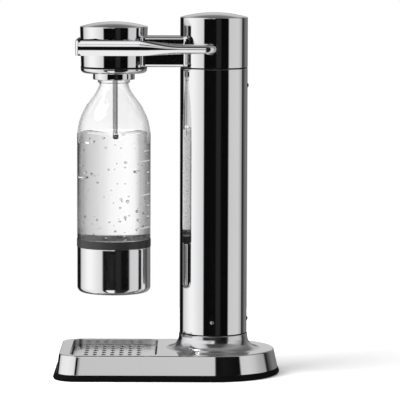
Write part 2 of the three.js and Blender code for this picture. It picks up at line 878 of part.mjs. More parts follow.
// Bridge between the two drums, with filleted junctions and rounded long edges.
function bridgeBody(inset) {
  const half = bridgeHalfWidth - inset;
  const fillet = bridgeFillet + inset;
  const edge = bridgeEdgeRadius;
  const shape = new THREE.Shape();
  const corner = (x, radius, side, level) => {
    const reach = Math.sqrt((radius + fillet) ** 2 - (half + fillet) ** 2);
    const centre = new THREE.Vector2(x + side * reach, level * (half + fillet));
    const touch = Math.atan2(-level * (half + fillet), -side * reach);
    const flat = -level * Math.PI / 2;
    return { centre, touch, flat };
  };
  const outline = [];
  const addArc = ({ centre, touch, flat }, inward) => {
    const sweep = Math.atan2(Math.sin(flat - touch), Math.cos(flat - touch));
    for (let i = 0; i <= roundSteps; i += 1) {
      const share = inward ? 1 - i / roundSteps : i / roundSteps;
      const angle = touch + sweep * share;
      outline.push(new THREE.Vector2(
        centre.x + fillet * Math.cos(angle), centre.y + fillet * Math.sin(angle),
      ));
    }
  };
  addArc(corner(columnX, columnRadius - inset, -1, 1), false);
  addArc(corner(headX, headFootRadius - inset, 1, 1), true);
  outline.push(new THREE.Vector2(headX, half));
  outline.push(new THREE.Vector2(headX, -half));
  addArc(corner(headX, headFootRadius - inset, 1, -1), false);
  addArc(corner(columnX, columnRadius - inset, -1, -1), true);
  outline.push(new THREE.Vector2(columnX, -half));
  outline.push(new THREE.Vector2(columnX, half));
  shape.setFromPoints(outline);
  const low = bridgeBottomZ + inset;
  const geometry = new THREE.ExtrudeGeometry(shape, {
    depth: bridgeTopZ - inset - low - 2 * edge,
    bevelThickness: edge, bevelSize: edge, bevelOffset: -edge, bevelSegments: 3,
  });
  geometry.translate(0, 0, low + edge);
  return solidOf(geometry);
}

function bossPlaces() {
  return [[headX - bossCircle, 0], [headX, bossCircle], [headX, -bossCircle]];
}

function topHousing() {
  let shell = housingBody(0, housingFootZ);
  const hollow = housingBody(housingWall, housingFootZ - cutOverrun);
  const lid = headRimZ - housingWall;
  let room = hollow;
  for (const [x, y] of bossPlaces()) {
    room = room.subtract(ring(bossRadius, 0, nozzleFlangeTopZ, lid + headDomeRise, smallSegments, x, y));
  }
  shell = shell.subtract(room);
  for (const [x, y] of bossPlaces()) {
    const top = nozzleFlangeTopZ + screwLength;
    shell = shell.subtract(
      ring(screwRadius + fitGap, 0, nozzleFlangeTopZ - cutOverrun, top, smallSegments, x, y),
    );
  }
  for (const side of [-1, 1]) {
    const hole = ring(bushingRadius + fitGap, 0, 0, columnRadius, bearingSegments);
    const geometry = geometryOf(laidAlongY(hole, 0, 0, 0));
    if (side < 0) geometry.rotateZ(Math.PI);
    geometry.translate(pivotX, side * (columnRadius - bushingDepth - cutOverrun), pivotZ);
    shell = shell.subtract(solidOf(geometry));
  }
  return shell;
}

function headSeam() {
  const outer = headFootRadius + headSeamProud;
  return ring(outer, headFootRadius - housingWall, columnTopZ, housingFootZ, wideSegments, headX);
}

// Steel ring that closes the head from below, with a spigot up into the head shell.
function trimRing() {
  const bandBottom = columnTopZ - trimBandHeight;
  const drop = bandBottom - trimBottomZ;
  const sweep = trimRadius - trimFlatRadius;
  const edge = arc(0, 0, 1, 0, -Math.PI / 2, roundSteps).map(
    ([r, h]) => [trimFlatRadius + sweep * r, bandBottom + drop * h],
  );
  const bore = socketRadius + fitGap;
  const spigot = trimSpigotRadius;
  const spigotInner = spigot - 2 * housingWall;
  const profile = [
    [bore, trimBottomZ], ...edge.reverse(), [trimRadius, columnTopZ], [spigot, columnTopZ],
    [spigot, trimSpigotTopZ], [spigotInner, trimSpigotTopZ],
    [spigotInner, columnTopZ], [bore, columnTopZ], [bore, trimBottomZ],
  ];
  return turned(profile, wideSegments, headX);
}

const gasketBottomZ = bottleTopZ + fitGap;
const gasketTopZ = gasketBottomZ + gasketHeight;
const socketBore = neckRadius + fitGap;

// Polished socket that the bottle neck screws into.
function bottleSocket() {
  const edge = arc(
    socketRadius - socketEdgeRadius, socketBottomZ + socketEdgeRadius, socketEdgeRadius,
    -Math.PI / 2, 0, roundSteps,
  );
  const profile = [
    [socketBore, socketBottomZ], ...edge, [socketRadius, trimSpigotTopZ],
    [socketBore, trimSpigotTopZ], [socketBore, socketBottomZ],
  ];
  return turned(profile, midSegments, headX);
}

function bottleGasket() {
  const inner = neckRadius - 2 * bottleWall - gasketHeight;
  return ring(socketBore - fitGap, inner, gasketBottomZ, gasketTopZ, midSegments, headX);
}

const reliefSeatZ = nozzleBlockTopZ;
const nozzleX = headX + nozzleLead;

// Block over the socket: carries the nozzle, takes the gas in from the side.
function nozzleBlock() {
  const profile = [
    [0, gasketTopZ], [socketBore - fitGap, gasketTopZ], [socketBore - fitGap, trimSpigotTopZ],
    [nozzleFlangeRadius, trimSpigotTopZ], [nozzleFlangeRadius, nozzleFlangeTopZ],
    [nozzleNeckRadius, nozzleFlangeTopZ], [nozzleNeckRadius, nozzleBlockTopZ], [0, nozzleBlockTopZ],
  ];
  let block = turned(profile, midSegments, headX);
  const seatTop = gasketTopZ + nozzleFlangeHeight + fitGap;
  const seat = ring(
    nozzleRadius + fitGap, 0, gasketTopZ - cutOverrun, seatTop, smallSegments, nozzleX,
  ).add(ring(nozzleBore, 0, seatTop - cutOverrun, tubeHighZ, smallSegments, nozzleX));
  const port = ring(
    tubeRadius + fitGap, 0, -2 * nozzleLead, nozzleNeckRadius + cutOverrun, smallSegments,
  );
  const vent = ring(
    poppetStemRadius + fitGap, 0, tubeHighZ, nozzleBlockTopZ + cutOverrun, smallSegments, headX,
  );
  block = block.subtract(seat).subtract(laidAlongX(port, headX, 0, tubeHighZ)).subtract(vent);
  for (const [x, y] of bossPlaces()) {
    block = block.subtract(
      ring(screwRadius + fitGap, 0, trimSpigotTopZ - cutOverrun,
        nozzleFlangeTopZ + cutOverrun, smallSegments, x, y),
    );
  }
  return block;
}

function nozzleTube() {
  const top = gasketTopZ + nozzleFlangeHeight;
  return ring(nozzleRadius, nozzleBore, nozzleBottomZ, top, smallSegments, nozzleX);
}

function nozzleTip() {
  const bottom = nozzleBottomZ - nozzleTipLength;
  const taper = nozzleTipRadius - nozzleTipBore;
  const profile = [
    [nozzleTipBore, bottom], [nozzleTipBore + taper / 2, bottom],
    [nozzleTipRadius, bottom + taper], [nozzleTipRadius, nozzleBottomZ],
    [nozzleTipBore, nozzleBottomZ], [nozzleTipBore, bottom],
  ];
  return turned(profile, smallSegments, nozzleX);
}

// Gas tube: level out of the valve block, up through the bridge, level into the nozzle block.
function gasTube() {
  const from = columnX - blockNeckRadius / 2 - fitGap;
  const to = headX + nozzleNeckRadius / 2;
  const rise = tubeHighZ - tubeLowZ;
  const knee = columnX - blockNeckRadius - rise / 2;
  const path = new THREE.CurvePath();
  const low = new THREE.Vector3(knee, 0, tubeLowZ);
  const high = new THREE.Vector3(knee - 2 * rise, 0, tubeHighZ);
  path.add(new THREE.LineCurve3(new THREE.Vector3(from, 0, tubeLowZ), low));
  path.add(new THREE.CubicBezierCurve3(
    low, new THREE.Vector3(knee - rise, 0, tubeLowZ),
    new THREE.Vector3(knee - rise, 0, tubeHighZ), high,
  ));
  path.add(new THREE.LineCurve3(high, new THREE.Vector3(to, 0, tubeHighZ)));
  const section = new THREE.Shape();
  section.absarc(0, 0, tubeRadius, 0, 2 * Math.PI, false);
  const bore = new THREE.Path();
  bore.absarc(0, 0, tubeBore, 0, 2 * Math.PI, true);
  section.holes.push(bore);
  return solidOf(new THREE.ExtrudeGeometry(section, {
    steps: 4 * domeSteps, curveSegments: tubeSides / 2, extrudePath: path,
  }));
}

// Relief valve: a cup with a vent in its lid, a poppet on its seat and a spring.
function reliefBody() {
  const top = reliefSeatZ + reliefHeight;
  const inner = reliefRadius - reliefWall;
  const vent = poppetStemRadius + 2 * fitGap;
  const profile = [
    [inner, reliefSeatZ], [reliefRadius, reliefSeatZ], [reliefRadius, top], [vent, top],
    [vent, top - reliefWall], [inner, top - reliefWall], [inner, reliefSeatZ],
  ];
  return turned(profile, smallSegments, headX);
}

function reliefPoppet() {
  const seat = reliefSeatZ + fitGap;
  const top = reliefSeatZ + reliefHeight;
  const profile = [
    [0, seat], [poppetRadius, seat], [poppetRadius, seat + poppetHeight],
    [poppetStemRadius, seat + poppetHeight], [poppetStemRadius, top - poppetLift],
    [0, top - poppetLift],
  ];
  return turned(profile, smallSegments, headX);
}

function reliefSpring() {
  const bottom = reliefSeatZ + fitGap + poppetHeight;
  const top = reliefSeatZ + reliefHeight - reliefWall;
  return coil(reliefSpringRadius, springWireRadius, bottom, top, springTurns, headX);
}

// Stations along half of the bail, from the middle of the front bar to the pivot.
function leverStations() {
  const stations = [];
  const corner = leverCornerRadius;
  const bend = leverBendRadius;
  const straight = (x, y, dx, dy) => stations.push({ x, y, dx, dy });
  straight(leverFrontX, 0, 0, 1);
  straight(leverFrontX, (leverArmY - corner) / 2, 0, 1);
  for (let i = 0; i <= cornerSteps; i += 1) {
    const angle = Math.PI / 2 * i / cornerSteps;
    const x = leverFrontX + corner * (1 - Math.cos(angle));
    straight(x, leverArmY - corner * (1 - Math.sin(angle)), Math.sin(angle), Math.cos(angle));
  }
  for (let i = 0; i <= 2 * domeSteps; i += 1) {
    const x = leverTaperFrontX + (leverTaperBackX - leverTaperFrontX) * i / (2 * domeSteps);
    straight(x, leverArmY, 1, 0);
  }
  for (let i = 0; i <= cornerSteps; i += 1) {
    const angle = Math.PI / 2 * i / cornerSteps;
    const x = pivotX - bend * (1 - Math.sin(angle));
    straight(x, leverArmY - bend * (1 - Math.cos(angle)), Math.cos(angle), -Math.sin(angle));
  }
  straight(pivotX, leverEndY, 0, -1);
  return stations;
}

// Share of the change from the flat bar to the round rod at a place along X.
function rodShare(x) {
  const share = (x - leverTaperFrontX) / (leverTaperBackX - leverTaperFrontX);
  const held = Math.min(1, Math.max(0, share));
  return held * held * (3 - 2 * held);
}

// Section of the flat bar: even on the inside, crowned on the outside.
function leverFlatPoint(angle) {
  const upShare = Math.sign(Math.sin(angle)) * Math.sqrt(Math.abs(Math.sin(angle)));
  const crowned = leverFlatThickness / 2 - leverCrown * upShare ** 2;
  const outside = Math.cos(angle) > -0.01;
  return { out: outside ? crowned : -leverFlatThickness / 2, up: leverFlatHeight / 2 * upShare };
}

function leverBail() {
  const half = leverStations();
  const mirrored = half.slice(1).reverse().map(({ x, y, dx, dy }) => ({ x, y: -y, dx: -dx, dy }));
  const stations = mirrored.concat(half);
  const sides = leverSides;
  const positions = [];
  for (const { x, y, dx, dy } of stations) {
    const share = rodShare(x);
    const centreZ = leverFrontZ + (pivotZ - leverFrontZ) * share;
    for (let i = 0; i < sides; i += 1) {
      const angle = 2 * Math.PI * (i + 0.5) / sides;
      const flat = leverFlatPoint(angle);
      const out = flat.out + (leverRodRadius * Math.cos(angle) - flat.out) * share;
      const up = flat.up + (leverRodRadius * Math.sin(angle) - flat.up) * share;
      positions.push(x + dy * out, y - dx * out, centreZ + up);
    }
  }
  const corners = [];
  for (let row = 0; row + 1 < stations.length; row += 1) {
    for (let i = 0; i < sides; i += 1) {
      const next = (i + 1) % sides;
      const low = row * sides;
      corners.push(low + i, low + next, low + sides + next);
      corners.push(low + i, low + sides + next, low + sides + i);
    }
  }
  const end = (stations.length - 1) * sides;
  for (let i = 1; i + 1 < sides; i += 1) {
    corners.push(0, i + 1, i);
    corners.push(end, end + i, end + i + 1);
  }
  const geometry = new THREE.BufferGeometry();
  geometry.setAttribute('position', new THREE.Float32BufferAttribute(positions, 3));
  geometry.setIndex(corners);
  return solidOf(geometry);
}

// Cross shaft between the rod ends, with the eccentric that presses the plunger.
function leverShaft() {
  const shaft = laidAlongY(
    ring(shaftRadius, 0, -leverEndY, leverEndY, bearingSegments), pivotX, 0, pivotZ,
  );
  const cam = laidAlongY(
    ring(camRadius, 0, -camHalfWidth, camHalfWidth, midSegments), pivotX - camOffset, 0, pivotZ,
  );
  return shaft.add(cam);
}

function leverBushing(side) {
  const inner = leverRodRadius + fitGap;
  const bush = laidAlongY(ring(bushingRadius, inner, 0, bushingDepth, bearingSegments), 0, 0, 0);
  const geometry = geometryOf(bush);
  const seat = Math.sqrt(columnRadius ** 2 - (columnX - pivotX) ** 2);
  geometry.translate(pivotX, side > 0 ? seat - bushingDepth : -seat, pivotZ);
  return solidOf(geometry);
}

const bandBottomZ = cupBottomZ + cupHeight;
const bandTopZ = bandBottomZ + bandHeight;
const bottleFootRadius = bottleRadius - cupWall - fitGap;
const bottleBottomZ = cupBottomZ + cupWall + fitGap;

// Outside of the bottle from its foot to its lip, set in by the wall for the inside.
function bottleProfile(inset) {
  const round = cupCornerRadius;
  const foot = arc(
    bottleFootRadius - round, bottleBottomZ + round, round - inset, -Math.PI / 2, 0, roundSteps,
  );
  const shoulder = bottleShoulderRadiusShares.map((share, i) => {
    const height = bottleShoulderHeightShares[i];
    const radius = neckRadius + (bottleRadius - neckRadius) * share;
    return [radius - inset, shoulderFootZ + (neckFootZ - shoulderFootZ) * height];
  }).filter((point, i) => inset === 0 || i % 2 === 0);
  const band = inset > 0 ? [] : [[bottleFootRadius, bandTopZ + fitGap], [bottleRadius, bandTopZ + fitGap]];
  const bead = inset > 0 ? [] : [
    [neckRadius, beadBottomZ], [beadRadius, beadBottomZ], [beadRadius, beadTopZ], [neckRadius, beadTopZ],
  ];
  const wide = inset > 0 ? bottleFootRadius : bottleRadius;
  return [
    [0, bottleBottomZ + inset], ...foot, ...band, [wide - inset, shoulderFootZ],
    ...shoulder.reverse(), [neckRadius - inset, neckFootZ], ...bead, [neckRadius - inset, bottleTopZ],
  ];
}

function bottle() {
  const inside = bottleProfile(bottleWall).reverse();
  return turned([...bottleProfile(0), ...inside], bottleSegments, headX);
}

function bottleBand() {
  return ring(bandRadius, bottleFootRadius + fitGap, bandBottomZ, bandTopZ, wideSegments, headX);
}

function bottleCup() {
  const round = cupCornerRadius;
  const outside = arc(bottleRadius - round, cupBottomZ + round, round, -Math.PI / 2, 0, roundSteps);
  const inside = arc(
    bottleRadius - round, cupBottomZ + round, round - cupWall, 0, -Math.PI / 2, roundSteps,
  );
  const profile = [
    [0, cupBottomZ], ...outside, [bottleRadius, bandBottomZ], [bottleRadius - cupWall, bandBottomZ],
    ...inside, [0, cupBottomZ + cupWall],
  ];
  return turned(profile, wideSegments, headX);
}

addPart('base_shell', baseShell(), polishedSteel);
addPart('base_pad', footPad(), blackRubber);
addPart('base_frame', baseFrame(), satinSteel);
addPart('column_foot', columnFoot(), aluminium);
footScrewPlaces().forEach(([x, y], i) => {
  addPart(`foot_screw_${i + 1}`, screw(x, y, padHeight, screwLength), satinSteel);
});
addPart('drip_plate', dripPlate(), polishedSteel);
addPart('column_seal', columnSeal(), blackRubber);
addPart('column_tube', columnTube(), polishedSteel);
addPart('bumper_low', seatedButton(bumperRadius, bumperRise, bumperLowZ, 0), blackRubber);
addPart('bumper_high', seatedButton(bumperRadius, bumperRise, bumperHighZ, 0), blackRubber);
addPart('side_pin_far', seatedButton(pinRadius, pinRise, pinZ, pinAngle), polishedSteel);
addPart('side_pin_near', seatedButton(pinRadius, pinRise, pinZ, -pinAngle), polishedSteel);
addPart('cylinder_guide', cylinderGuide(), greyPlastic);
addPart('gas_cylinder', gasFlask(), aluminium);
addPart('gas_valve', gasValve(), brass);
addPart('gas_valve_pin', gasValvePin(), satinSteel);
addPart('head_adapter', headAdapter(), blackPlastic);
addPart('valve_block', valveBlock(), brass);
addPart('valve_washer', valveWasher(), blackRubber);
addPart('plunger', plunger(), satinSteel);
addPart('plunger_spring', plungerSpring(), satinSteel);
addPart('top_housing', topHousing(), polishedSteel);
addPart('head_seam', headSeam(), blackRubber);
addPart('trim_ring', trimRing(), polishedSteel);
addPart('bottle_socket', bottleSocket(), polishedSteel);
addPart('bottle_gasket', bottleGasket(), blackRubber);
addPart('nozzle_block', nozzleBlock(), greyPlastic);
bossPlaces().forEach(([x, y], i) => {
  addPart(`head_screw_${i + 1}`, screw(x, y, trimSpigotTopZ, screwLength), satinSteel);
});
addPart('nozzle_tube', nozzleTube(), satinSteel);
addPart('nozzle_tip', nozzleTip(), blackPlastic);
addPart('gas_tube', gasTube(), blackPlastic);
addPart('relief_body', reliefBody(), brass);
addPart('relief_poppet', reliefPoppet(), satinSteel);
addPart('relief_spring', reliefSpring(), satinSteel);
addPart('lever', leverBail(), polishedSteel);
addPart('lever_shaft', leverShaft(), satinSteel);
addPart('bushing_far', leverBushing(1), blackPlastic);
addPart('bushing_near', leverBushing(-1), blackPlastic);
addPart('bottle', bottle(), clearPlastic);
addPart('bottle_band', bottleBand(), blackRubber);
addPart('bottle_cup', bottleCup(), polishedSteel);

export default machine;
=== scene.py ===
import json
from math import radians

import bmesh
import bpy
import numpy as np
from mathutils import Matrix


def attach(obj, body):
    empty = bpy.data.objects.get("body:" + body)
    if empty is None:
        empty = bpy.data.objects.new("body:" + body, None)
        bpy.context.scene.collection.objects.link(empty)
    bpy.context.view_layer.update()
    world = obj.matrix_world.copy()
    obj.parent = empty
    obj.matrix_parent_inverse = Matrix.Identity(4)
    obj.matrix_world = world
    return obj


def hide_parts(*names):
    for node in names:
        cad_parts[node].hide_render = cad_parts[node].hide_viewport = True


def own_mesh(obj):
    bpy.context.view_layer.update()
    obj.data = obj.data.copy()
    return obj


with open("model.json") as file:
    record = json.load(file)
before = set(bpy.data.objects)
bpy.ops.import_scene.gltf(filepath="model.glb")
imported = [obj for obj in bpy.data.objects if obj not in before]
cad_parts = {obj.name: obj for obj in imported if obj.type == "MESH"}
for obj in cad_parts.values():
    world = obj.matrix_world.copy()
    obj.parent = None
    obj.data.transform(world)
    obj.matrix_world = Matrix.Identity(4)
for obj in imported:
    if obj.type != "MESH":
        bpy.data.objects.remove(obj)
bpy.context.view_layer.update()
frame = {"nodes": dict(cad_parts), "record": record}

scene = bpy.context.scene
scene.view_settings.view_transform = "Standard"

# Camera: a long lens a little above the machine, square on to its side, so that the
# bottle hangs on the left and the column stands on the right.
camera_place = (0.0362, -3.222, 0.512)
tilt_down = 5.56
roll = -0.17
lens_mm = 255.4
camera_data = bpy.data.cameras.new("photo_camera")
camera_data.lens = lens_mm
camera_data.sensor_width = 36.0
camera_data.clip_end = 100.0
camera = bpy.data.objects.new("photo_camera", camera_data)
camera.location = camera_place
camera.rotation_euler = (radians(90.0 - tilt_down), radians(roll), 0.0)
scene.collection.objects.link(camera)
scene.camera = camera


# Studio: what the polished steel mirrors. Each ring of the surroundings, from straight down
# to straight up, has its own run of greys by bearing: pale soft boxes at the sides, a dark
# room on the camera's side, and a mid grey sweep behind the machine.
def grey(level):
    """Light strength of a photographed grey from 0 to 255: the sRGB curve undone."""
    share = level / 255.0
    return share / 12.92 if share <= 0.04045 else ((share + 0.055) / 1.055) ** 2.4


def bearing_ramp(tree, fac, stops):
    """Colour ramp over bearings: -180 to 180 degrees, 0 towards the camera, 90 towards +X."""
    ramp = tree.nodes.new("ShaderNodeValToRGB")
    ramp.color_ramp.interpolation = "LINEAR"
    elements = ramp.color_ramp.elements
    while len(elements) > 1:
        elements.remove(elements[-1])
    for number, (bearing, level) in enumerate(stops):
        place = (bearing + 180.0) / 360.0
        element = elements[0] if number == 0 else elements.new(place)
        element.position = place
        value = grey(level)
        element.color = (value, value, value, 1.0)
    tree.links.new(fac, ramp.inputs["Fac"])
    return ramp.outputs["Color"]


def number_node(tree, operation, first, second=None, third=None):
    """One arithmetic step on sockets or plain numbers."""
    node = tree.nodes.new("ShaderNodeMath")
    node.operation = operation
    for socket, value in zip(node.inputs, (first, second, third)):
        if value is None:
            continue
        if isinstance(value, (int, float)):
            socket.default_value = value
        else:
            tree.links.new(value, socket)
    return node.outputs[0]


def smooth_step(tree, value, low, high):
    """0 below low, 1 above high and a smooth curve between them."""
    node = tree.nodes.new("ShaderNodeMapRange")
    node.interpolation_type = "SMOOTHSTEP"
    node.inputs["From Min"].default_value = low
    node.inputs["From Max"].default_value = high
    tree.links.new(value, node.inputs["Value"])
    return node.outputs["Result"]


def blended(tree, fac, first, second):
    """Linear mix of two colours; a number stands for that grey level, a tuple for a colour."""
    node = tree.nodes.new("ShaderNodeMix")
    node.data_type = "RGBA"
    tree.links.new(fac, node.inputs["Factor"])
    for name, value in (("A", first), ("B", second)):
        socket = next(s for s in node.inputs if s.name == name and s.type == "RGBA")
        if isinstance(value, tuple):
            socket.default_value = value + (1.0,)
        elif isinstance(value, (int, float)):
            socket.default_value = (grey(value),) * 3 + (1.0,)
        else:
            tree.links.new(value, socket)
    return next(s for s in node.outputs if s.type == "RGBA")


ground_stops = [
    (-180, 150), (-160, 130), (-156, 40), (-130, 40), (-122, 205), (-90, 232), (-75, 235),
    (-36, 212), (-33, 30), (-24, 30), (-21, 236), (3, 236), (5, 36), (46, 36), (54, 205), (93, 204),
    (108, 168), (114, 40), (122, 90), (138, 130), (180, 150),
]
floor_stops = [
    (-180, 112), (-160, 98), (-156, 12), (-130, 12), (-122, 205), (-90, 242), (-75, 243),
    (-36, 212), (-33, 8), (6, 10), (10, 36), (22, 36), (26, 8), (50, 8), (54, 200), (93, 204),
    (108, 168), (114, 14), (117, 36), (122, 67), (138, 116), (180, 112),
]
level_stops = [
    (-180, 105), (-160, 95), (-156, 12), (-130, 12), (-122, 205), (-90, 242), (-75, 243),
    (-36, 212), (-33, 8), (6, 10), (10, 36), (22, 36), (26, 8), (50, 8), (54, 200), (93, 204),
    (108, 168), (114, 14), (117, 36), (122, 67), (138, 118), (160, 112), (180, 105),
]
wall_stops = [
    (-180, 190), (-160, 136), (-156, 60), (-132, 60), (-124, 205), (-100, 232), (-60, 236),
    (-25, 226), (-16, 205), (-13.5, 8), (-4.8, 8), (-3.4, 196), (3.0, 196), (4.8, 10), (20, 22),
    (50.5, 10), (53.0, 201), (70, 203), (82, 193), (92, 174), (103, 157), (109, 142), (112.5, 10),
    (117, 36), (122, 68), (130, 106), (140, 118), (152, 148), (166, 172), (180, 190),
]
lever_part = (-14.0, 4.0)
crown_stops = [stop for stop in wall_stops if not lever_part[0] < stop[0] < lever_part[1]]
crown_stops = sorted(crown_stops + [(-3.4, 240), (3.0, 240)])
rear_bearing, rear_level = 150, 112
rim_stops = [stop for stop in crown_stops if abs(stop[0]) < rear_bearing]
rim_stops = sorted(rim_stops + [
    (place, rear_level) for place in (-180, -rear_bearing, rear_bearing, 180)
])
ceiling_stops = [
    (-180, 85), (-150, 110), (-110, 225), (-60, 232), (-35, 210), (-20, 70), (40, 70), (60, 130),
    (100, 150), (140, 110), (180, 85),
]
# Each ring's greys, and the two heights, as sines of elevation, over which it fades in.
rings = [
    (ground_stops, -0.98, -0.85), (floor_stops, -0.24, -0.165), (level_stops, -0.01, 0.02),
    (crown_stops, 0.06, 0.13), (wall_stops, 0.21, 0.245), (crown_stops, 0.295, 0.33),
    (rim_stops, 0.31, 0.45), (ceiling_stops, 0.46, 0.60),
]
nadir_level, zenith_level = 190, 130
zenith_fade = (0.88, 0.985)
through_stops = [
    (-180, 240), (-168, 250), (-160, 238), (-152, 178), (-140, 130), (-124, 95), (-112, 190),
    (-95, 228), (-75, 235), (-30, 230), (0, 235), (30, 230), (75, 190), (95, 110), (120, 100),
    (136, 128), (150, 160), (158, 182), (169, 205), (180, 240),
]
through_fade, through_top_level = (0.25, 0.60), 110
diffuse_strength, mirrored_strength, through_strength = 0.62, 1.25, 1.15

world = bpy.data.worlds.new("studio")
world.use_nodes = True
scene.world = world
tree = world.node_tree
tree.nodes.clear()
coordinates = tree.nodes.new("ShaderNodeTexCoord")
split = tree.nodes.new("ShaderNodeSeparateXYZ")
tree.links.new(coordinates.outputs["Generated"], split.inputs[0])
x_part, y_part, z_part = split.outputs
towards = number_node(tree, "MULTIPLY", y_part, -1.0)
bearing = number_node(tree, "ARCTAN2", x_part, towards)
turn = number_node(tree, "MULTIPLY_ADD", bearing, 0.5 / np.pi, 0.5)
mirrored = nadir_level
for stops, fade_low, fade_high in rings:
    fade = smooth_step(tree, z_part, fade_low, fade_high)
    mirrored = blended(tree, fade, mirrored, bearing_ramp(tree, turn, stops))
mirrored = blended(tree, smooth_step(tree, z_part, *zenith_fade), mirrored, zenith_level)
behind = bearing_ramp(tree, turn, through_stops)
through = blended(tree, smooth_step(tree, z_part, *through_fade), behind, through_top_level)


def glow(tree, strength, color=None):
    """Light of a strength, white or in the colour of a socket."""
    node = tree.nodes.new("ShaderNodeBackground")
    node.inputs["Strength"].default_value = strength
    if color is None:
        node.inputs["Color"].default_value = (1.0, 1.0, 1.0, 1.0)
    else:
        tree.links.new(color, node.inputs["Color"])
    return node.outputs[0]


# Each kind of ray sees its own light: matt surfaces, mirrors, clear pieces and the camera.
rays = tree.nodes.new("ShaderNodeLightPath")
shade = glow(tree, diffuse_strength)
for kind, light in (
    ("Is Glossy Ray", glow(tree, mirrored_strength, mirrored)),
    ("Is Transmission Ray", glow(tree, through_strength, through)),
    ("Is Camera Ray", glow(tree, 1.0)),
):
    chosen = tree.nodes.new("ShaderNodeMixShader")
    for socket, source in zip(chosen.inputs, (rays.outputs[kind], shade, light)):
        tree.links.new(source, socket)
    shade = chosen.outputs[0]
world_output = tree.nodes.new("ShaderNodeOutputWorld")
tree.links.new(shade, world_output.inputs["Surface"])


# Floor: a pale round table top that runs out of sight into the white background, and one
# soft lamp from the upper left that lays the shadow to the right of the base.
def aimed(angle):
    """Unit vectors in the plane: (cos a, sin a) for each angle a."""
    return np.stack([np.cos(angle), np.sin(angle)], axis=1)


def risen(loop, height):
    """A flat loop lifted to a height."""
    return np.concatenate([loop, np.full((len(loop), 1), height)], axis=1)


floor_radius, floor_centre_x, floor_sides, floor_glow = 0.55, 0.03, 96, 0.12
floor_turn = np.linspace(0.0, 2.0 * np.pi, floor_sides, endpoint=False)
floor_rim = risen([floor_centre_x, 0.0] + floor_radius * aimed(floor_turn), 0.0)
floor_mesh = bpy.data.meshes.new("floor")
floor_mesh.from_pydata(floor_rim.tolist(), [], [list(range(floor_sides))])
floor = bpy.data.objects.new("floor", floor_mesh)
scene.collection.objects.link(floor)
floor_look = bpy.data.materials.new("pale_floor")
floor_look.use_nodes = True
tree = floor_look.node_tree
tree.nodes.clear()
matt = tree.nodes.new("ShaderNodeBsdfDiffuse")
matt.inputs["Color"].default_value = (0.9, 0.9, 0.9, 1.0)
lift = tree.nodes.new("ShaderNodeEmission")
lift.inputs["Color"].default_value = (1.0, 1.0, 1.0, 1.0)
rays = tree.nodes.new("ShaderNodeLightPath")
strength = number_node(tree, "MULTIPLY", rays.outputs["Is Camera Ray"], floor_glow)
tree.links.new(strength, lift.inputs["Strength"])
both = tree.nodes.new("ShaderNodeAddShader")
tree.links.new(matt.outputs[0], both.inputs[0])
tree.links.new(lift.outputs[0], both.inputs[1])
surface = tree.nodes.new("ShaderNodeOutputMaterial")
tree.links.new(both.outputs[0], surface.inputs["Surface"])
floor_mesh.materials.append(floor_look)
floor.visible_glossy = False

lamp_data = bpy.data.lights.new("soft_lamp", "AREA")
lamp_data.shape = "DISK"
lamp_data.size = 1.2
lamp_data.energy = 42.0
lamp = bpy.data.objects.new("soft_lamp", lamp_data)
lamp.location = (-1.0, -0.4, 1.4)
lamp.rotation_euler = (radians(16.0), radians(-34.0), 0.0)
lamp.visible_glossy = False
scene.collection.objects.link(lamp)


# Foot pad: moulded black rubber under the whole base, with a soft bulging edge and a
# round well through which the gas cylinder goes in from below.
column_x = 0.0525
back_points, near_points, side_points, corner_points = 145, 13, 26, 25
split_x = -0.006


def footprint(half_width, front, corner):
    """D-shaped loop: half circle about the column axis, straight sides, two corner arcs."""
    back = np.linspace(-np.pi / 2, np.pi / 2, back_points)
    corner_x = corner - front
    level = half_width - corner
    first = np.linspace(np.pi / 2, np.pi, corner_points)
    near_side = np.linspace(column_x, split_x, near_points)[1:]
    far_side = np.linspace(split_x, corner_x, side_points)[1:]
    along = np.concatenate([near_side, far_side])
    across = np.linspace(level, -level, side_points)[1:]
    x = np.concatenate([
        column_x + half_width * np.cos(back), along, corner_x + corner * np.cos(first)[1:],
        np.full(across.size, -front), corner_x + corner * np.cos(first + np.pi / 2)[1:],
        along[::-1][1:],
    ])
    y = np.concatenate([
        half_width * np.sin(back), np.full(along.size, half_width),
        level + corner * np.sin(first)[1:], across,
        -level + corner * np.sin(first + np.pi / 2)[1:],
        np.full(along.size - 1, -half_width),
    ])
    return np.stack([x, y], axis=1)


def skin_faces(rows, columns, wrap=True):
    """Quads between neighbouring rows of a grid, closed round its columns if wrap is set."""
    grid = np.arange(rows * columns).reshape(rows, columns)
    if wrap:
        grid = np.concatenate([grid, grid[:, :1]], axis=1)
    quads = np.stack([grid[:-1, :-1], grid[:-1, 1:], grid[1:, 1:], grid[1:, :-1]], axis=-1)
    return quads.reshape(-1, 4)


def as_mesh(name, parts, sharp=32.0):
    """Welds point and face arrays into one mesh, faces it outwards and smooths its curves."""
    points = np.concatenate([part[0].reshape(-1, 3) for part in parts])
    starts = np.cumsum([0] + [part[0].reshape(-1, 3).shape[0] for part in parts[:-1]])
    faces = np.concatenate([part[1] + start for part, start in zip(parts, starts)])
    mesh = bpy.data.meshes.new(name)
    mesh.from_pydata(points.tolist(), [], faces.tolist())
    work = bmesh.new()
    work.from_mesh(mesh)
    bmesh.ops.remove_doubles(work, verts=work.verts, dist=2e-6)
    bmesh.ops.dissolve_degenerate(work, edges=work.edges, dist=1e-7)
    bmesh.ops.recalc_face_normals(work, faces=work.faces)
    work.to_mesh(mesh)
    work.free()
    mesh.shade_smooth()
    mesh.set_sharp_from_angle(angle=radians(sharp))
    return mesh


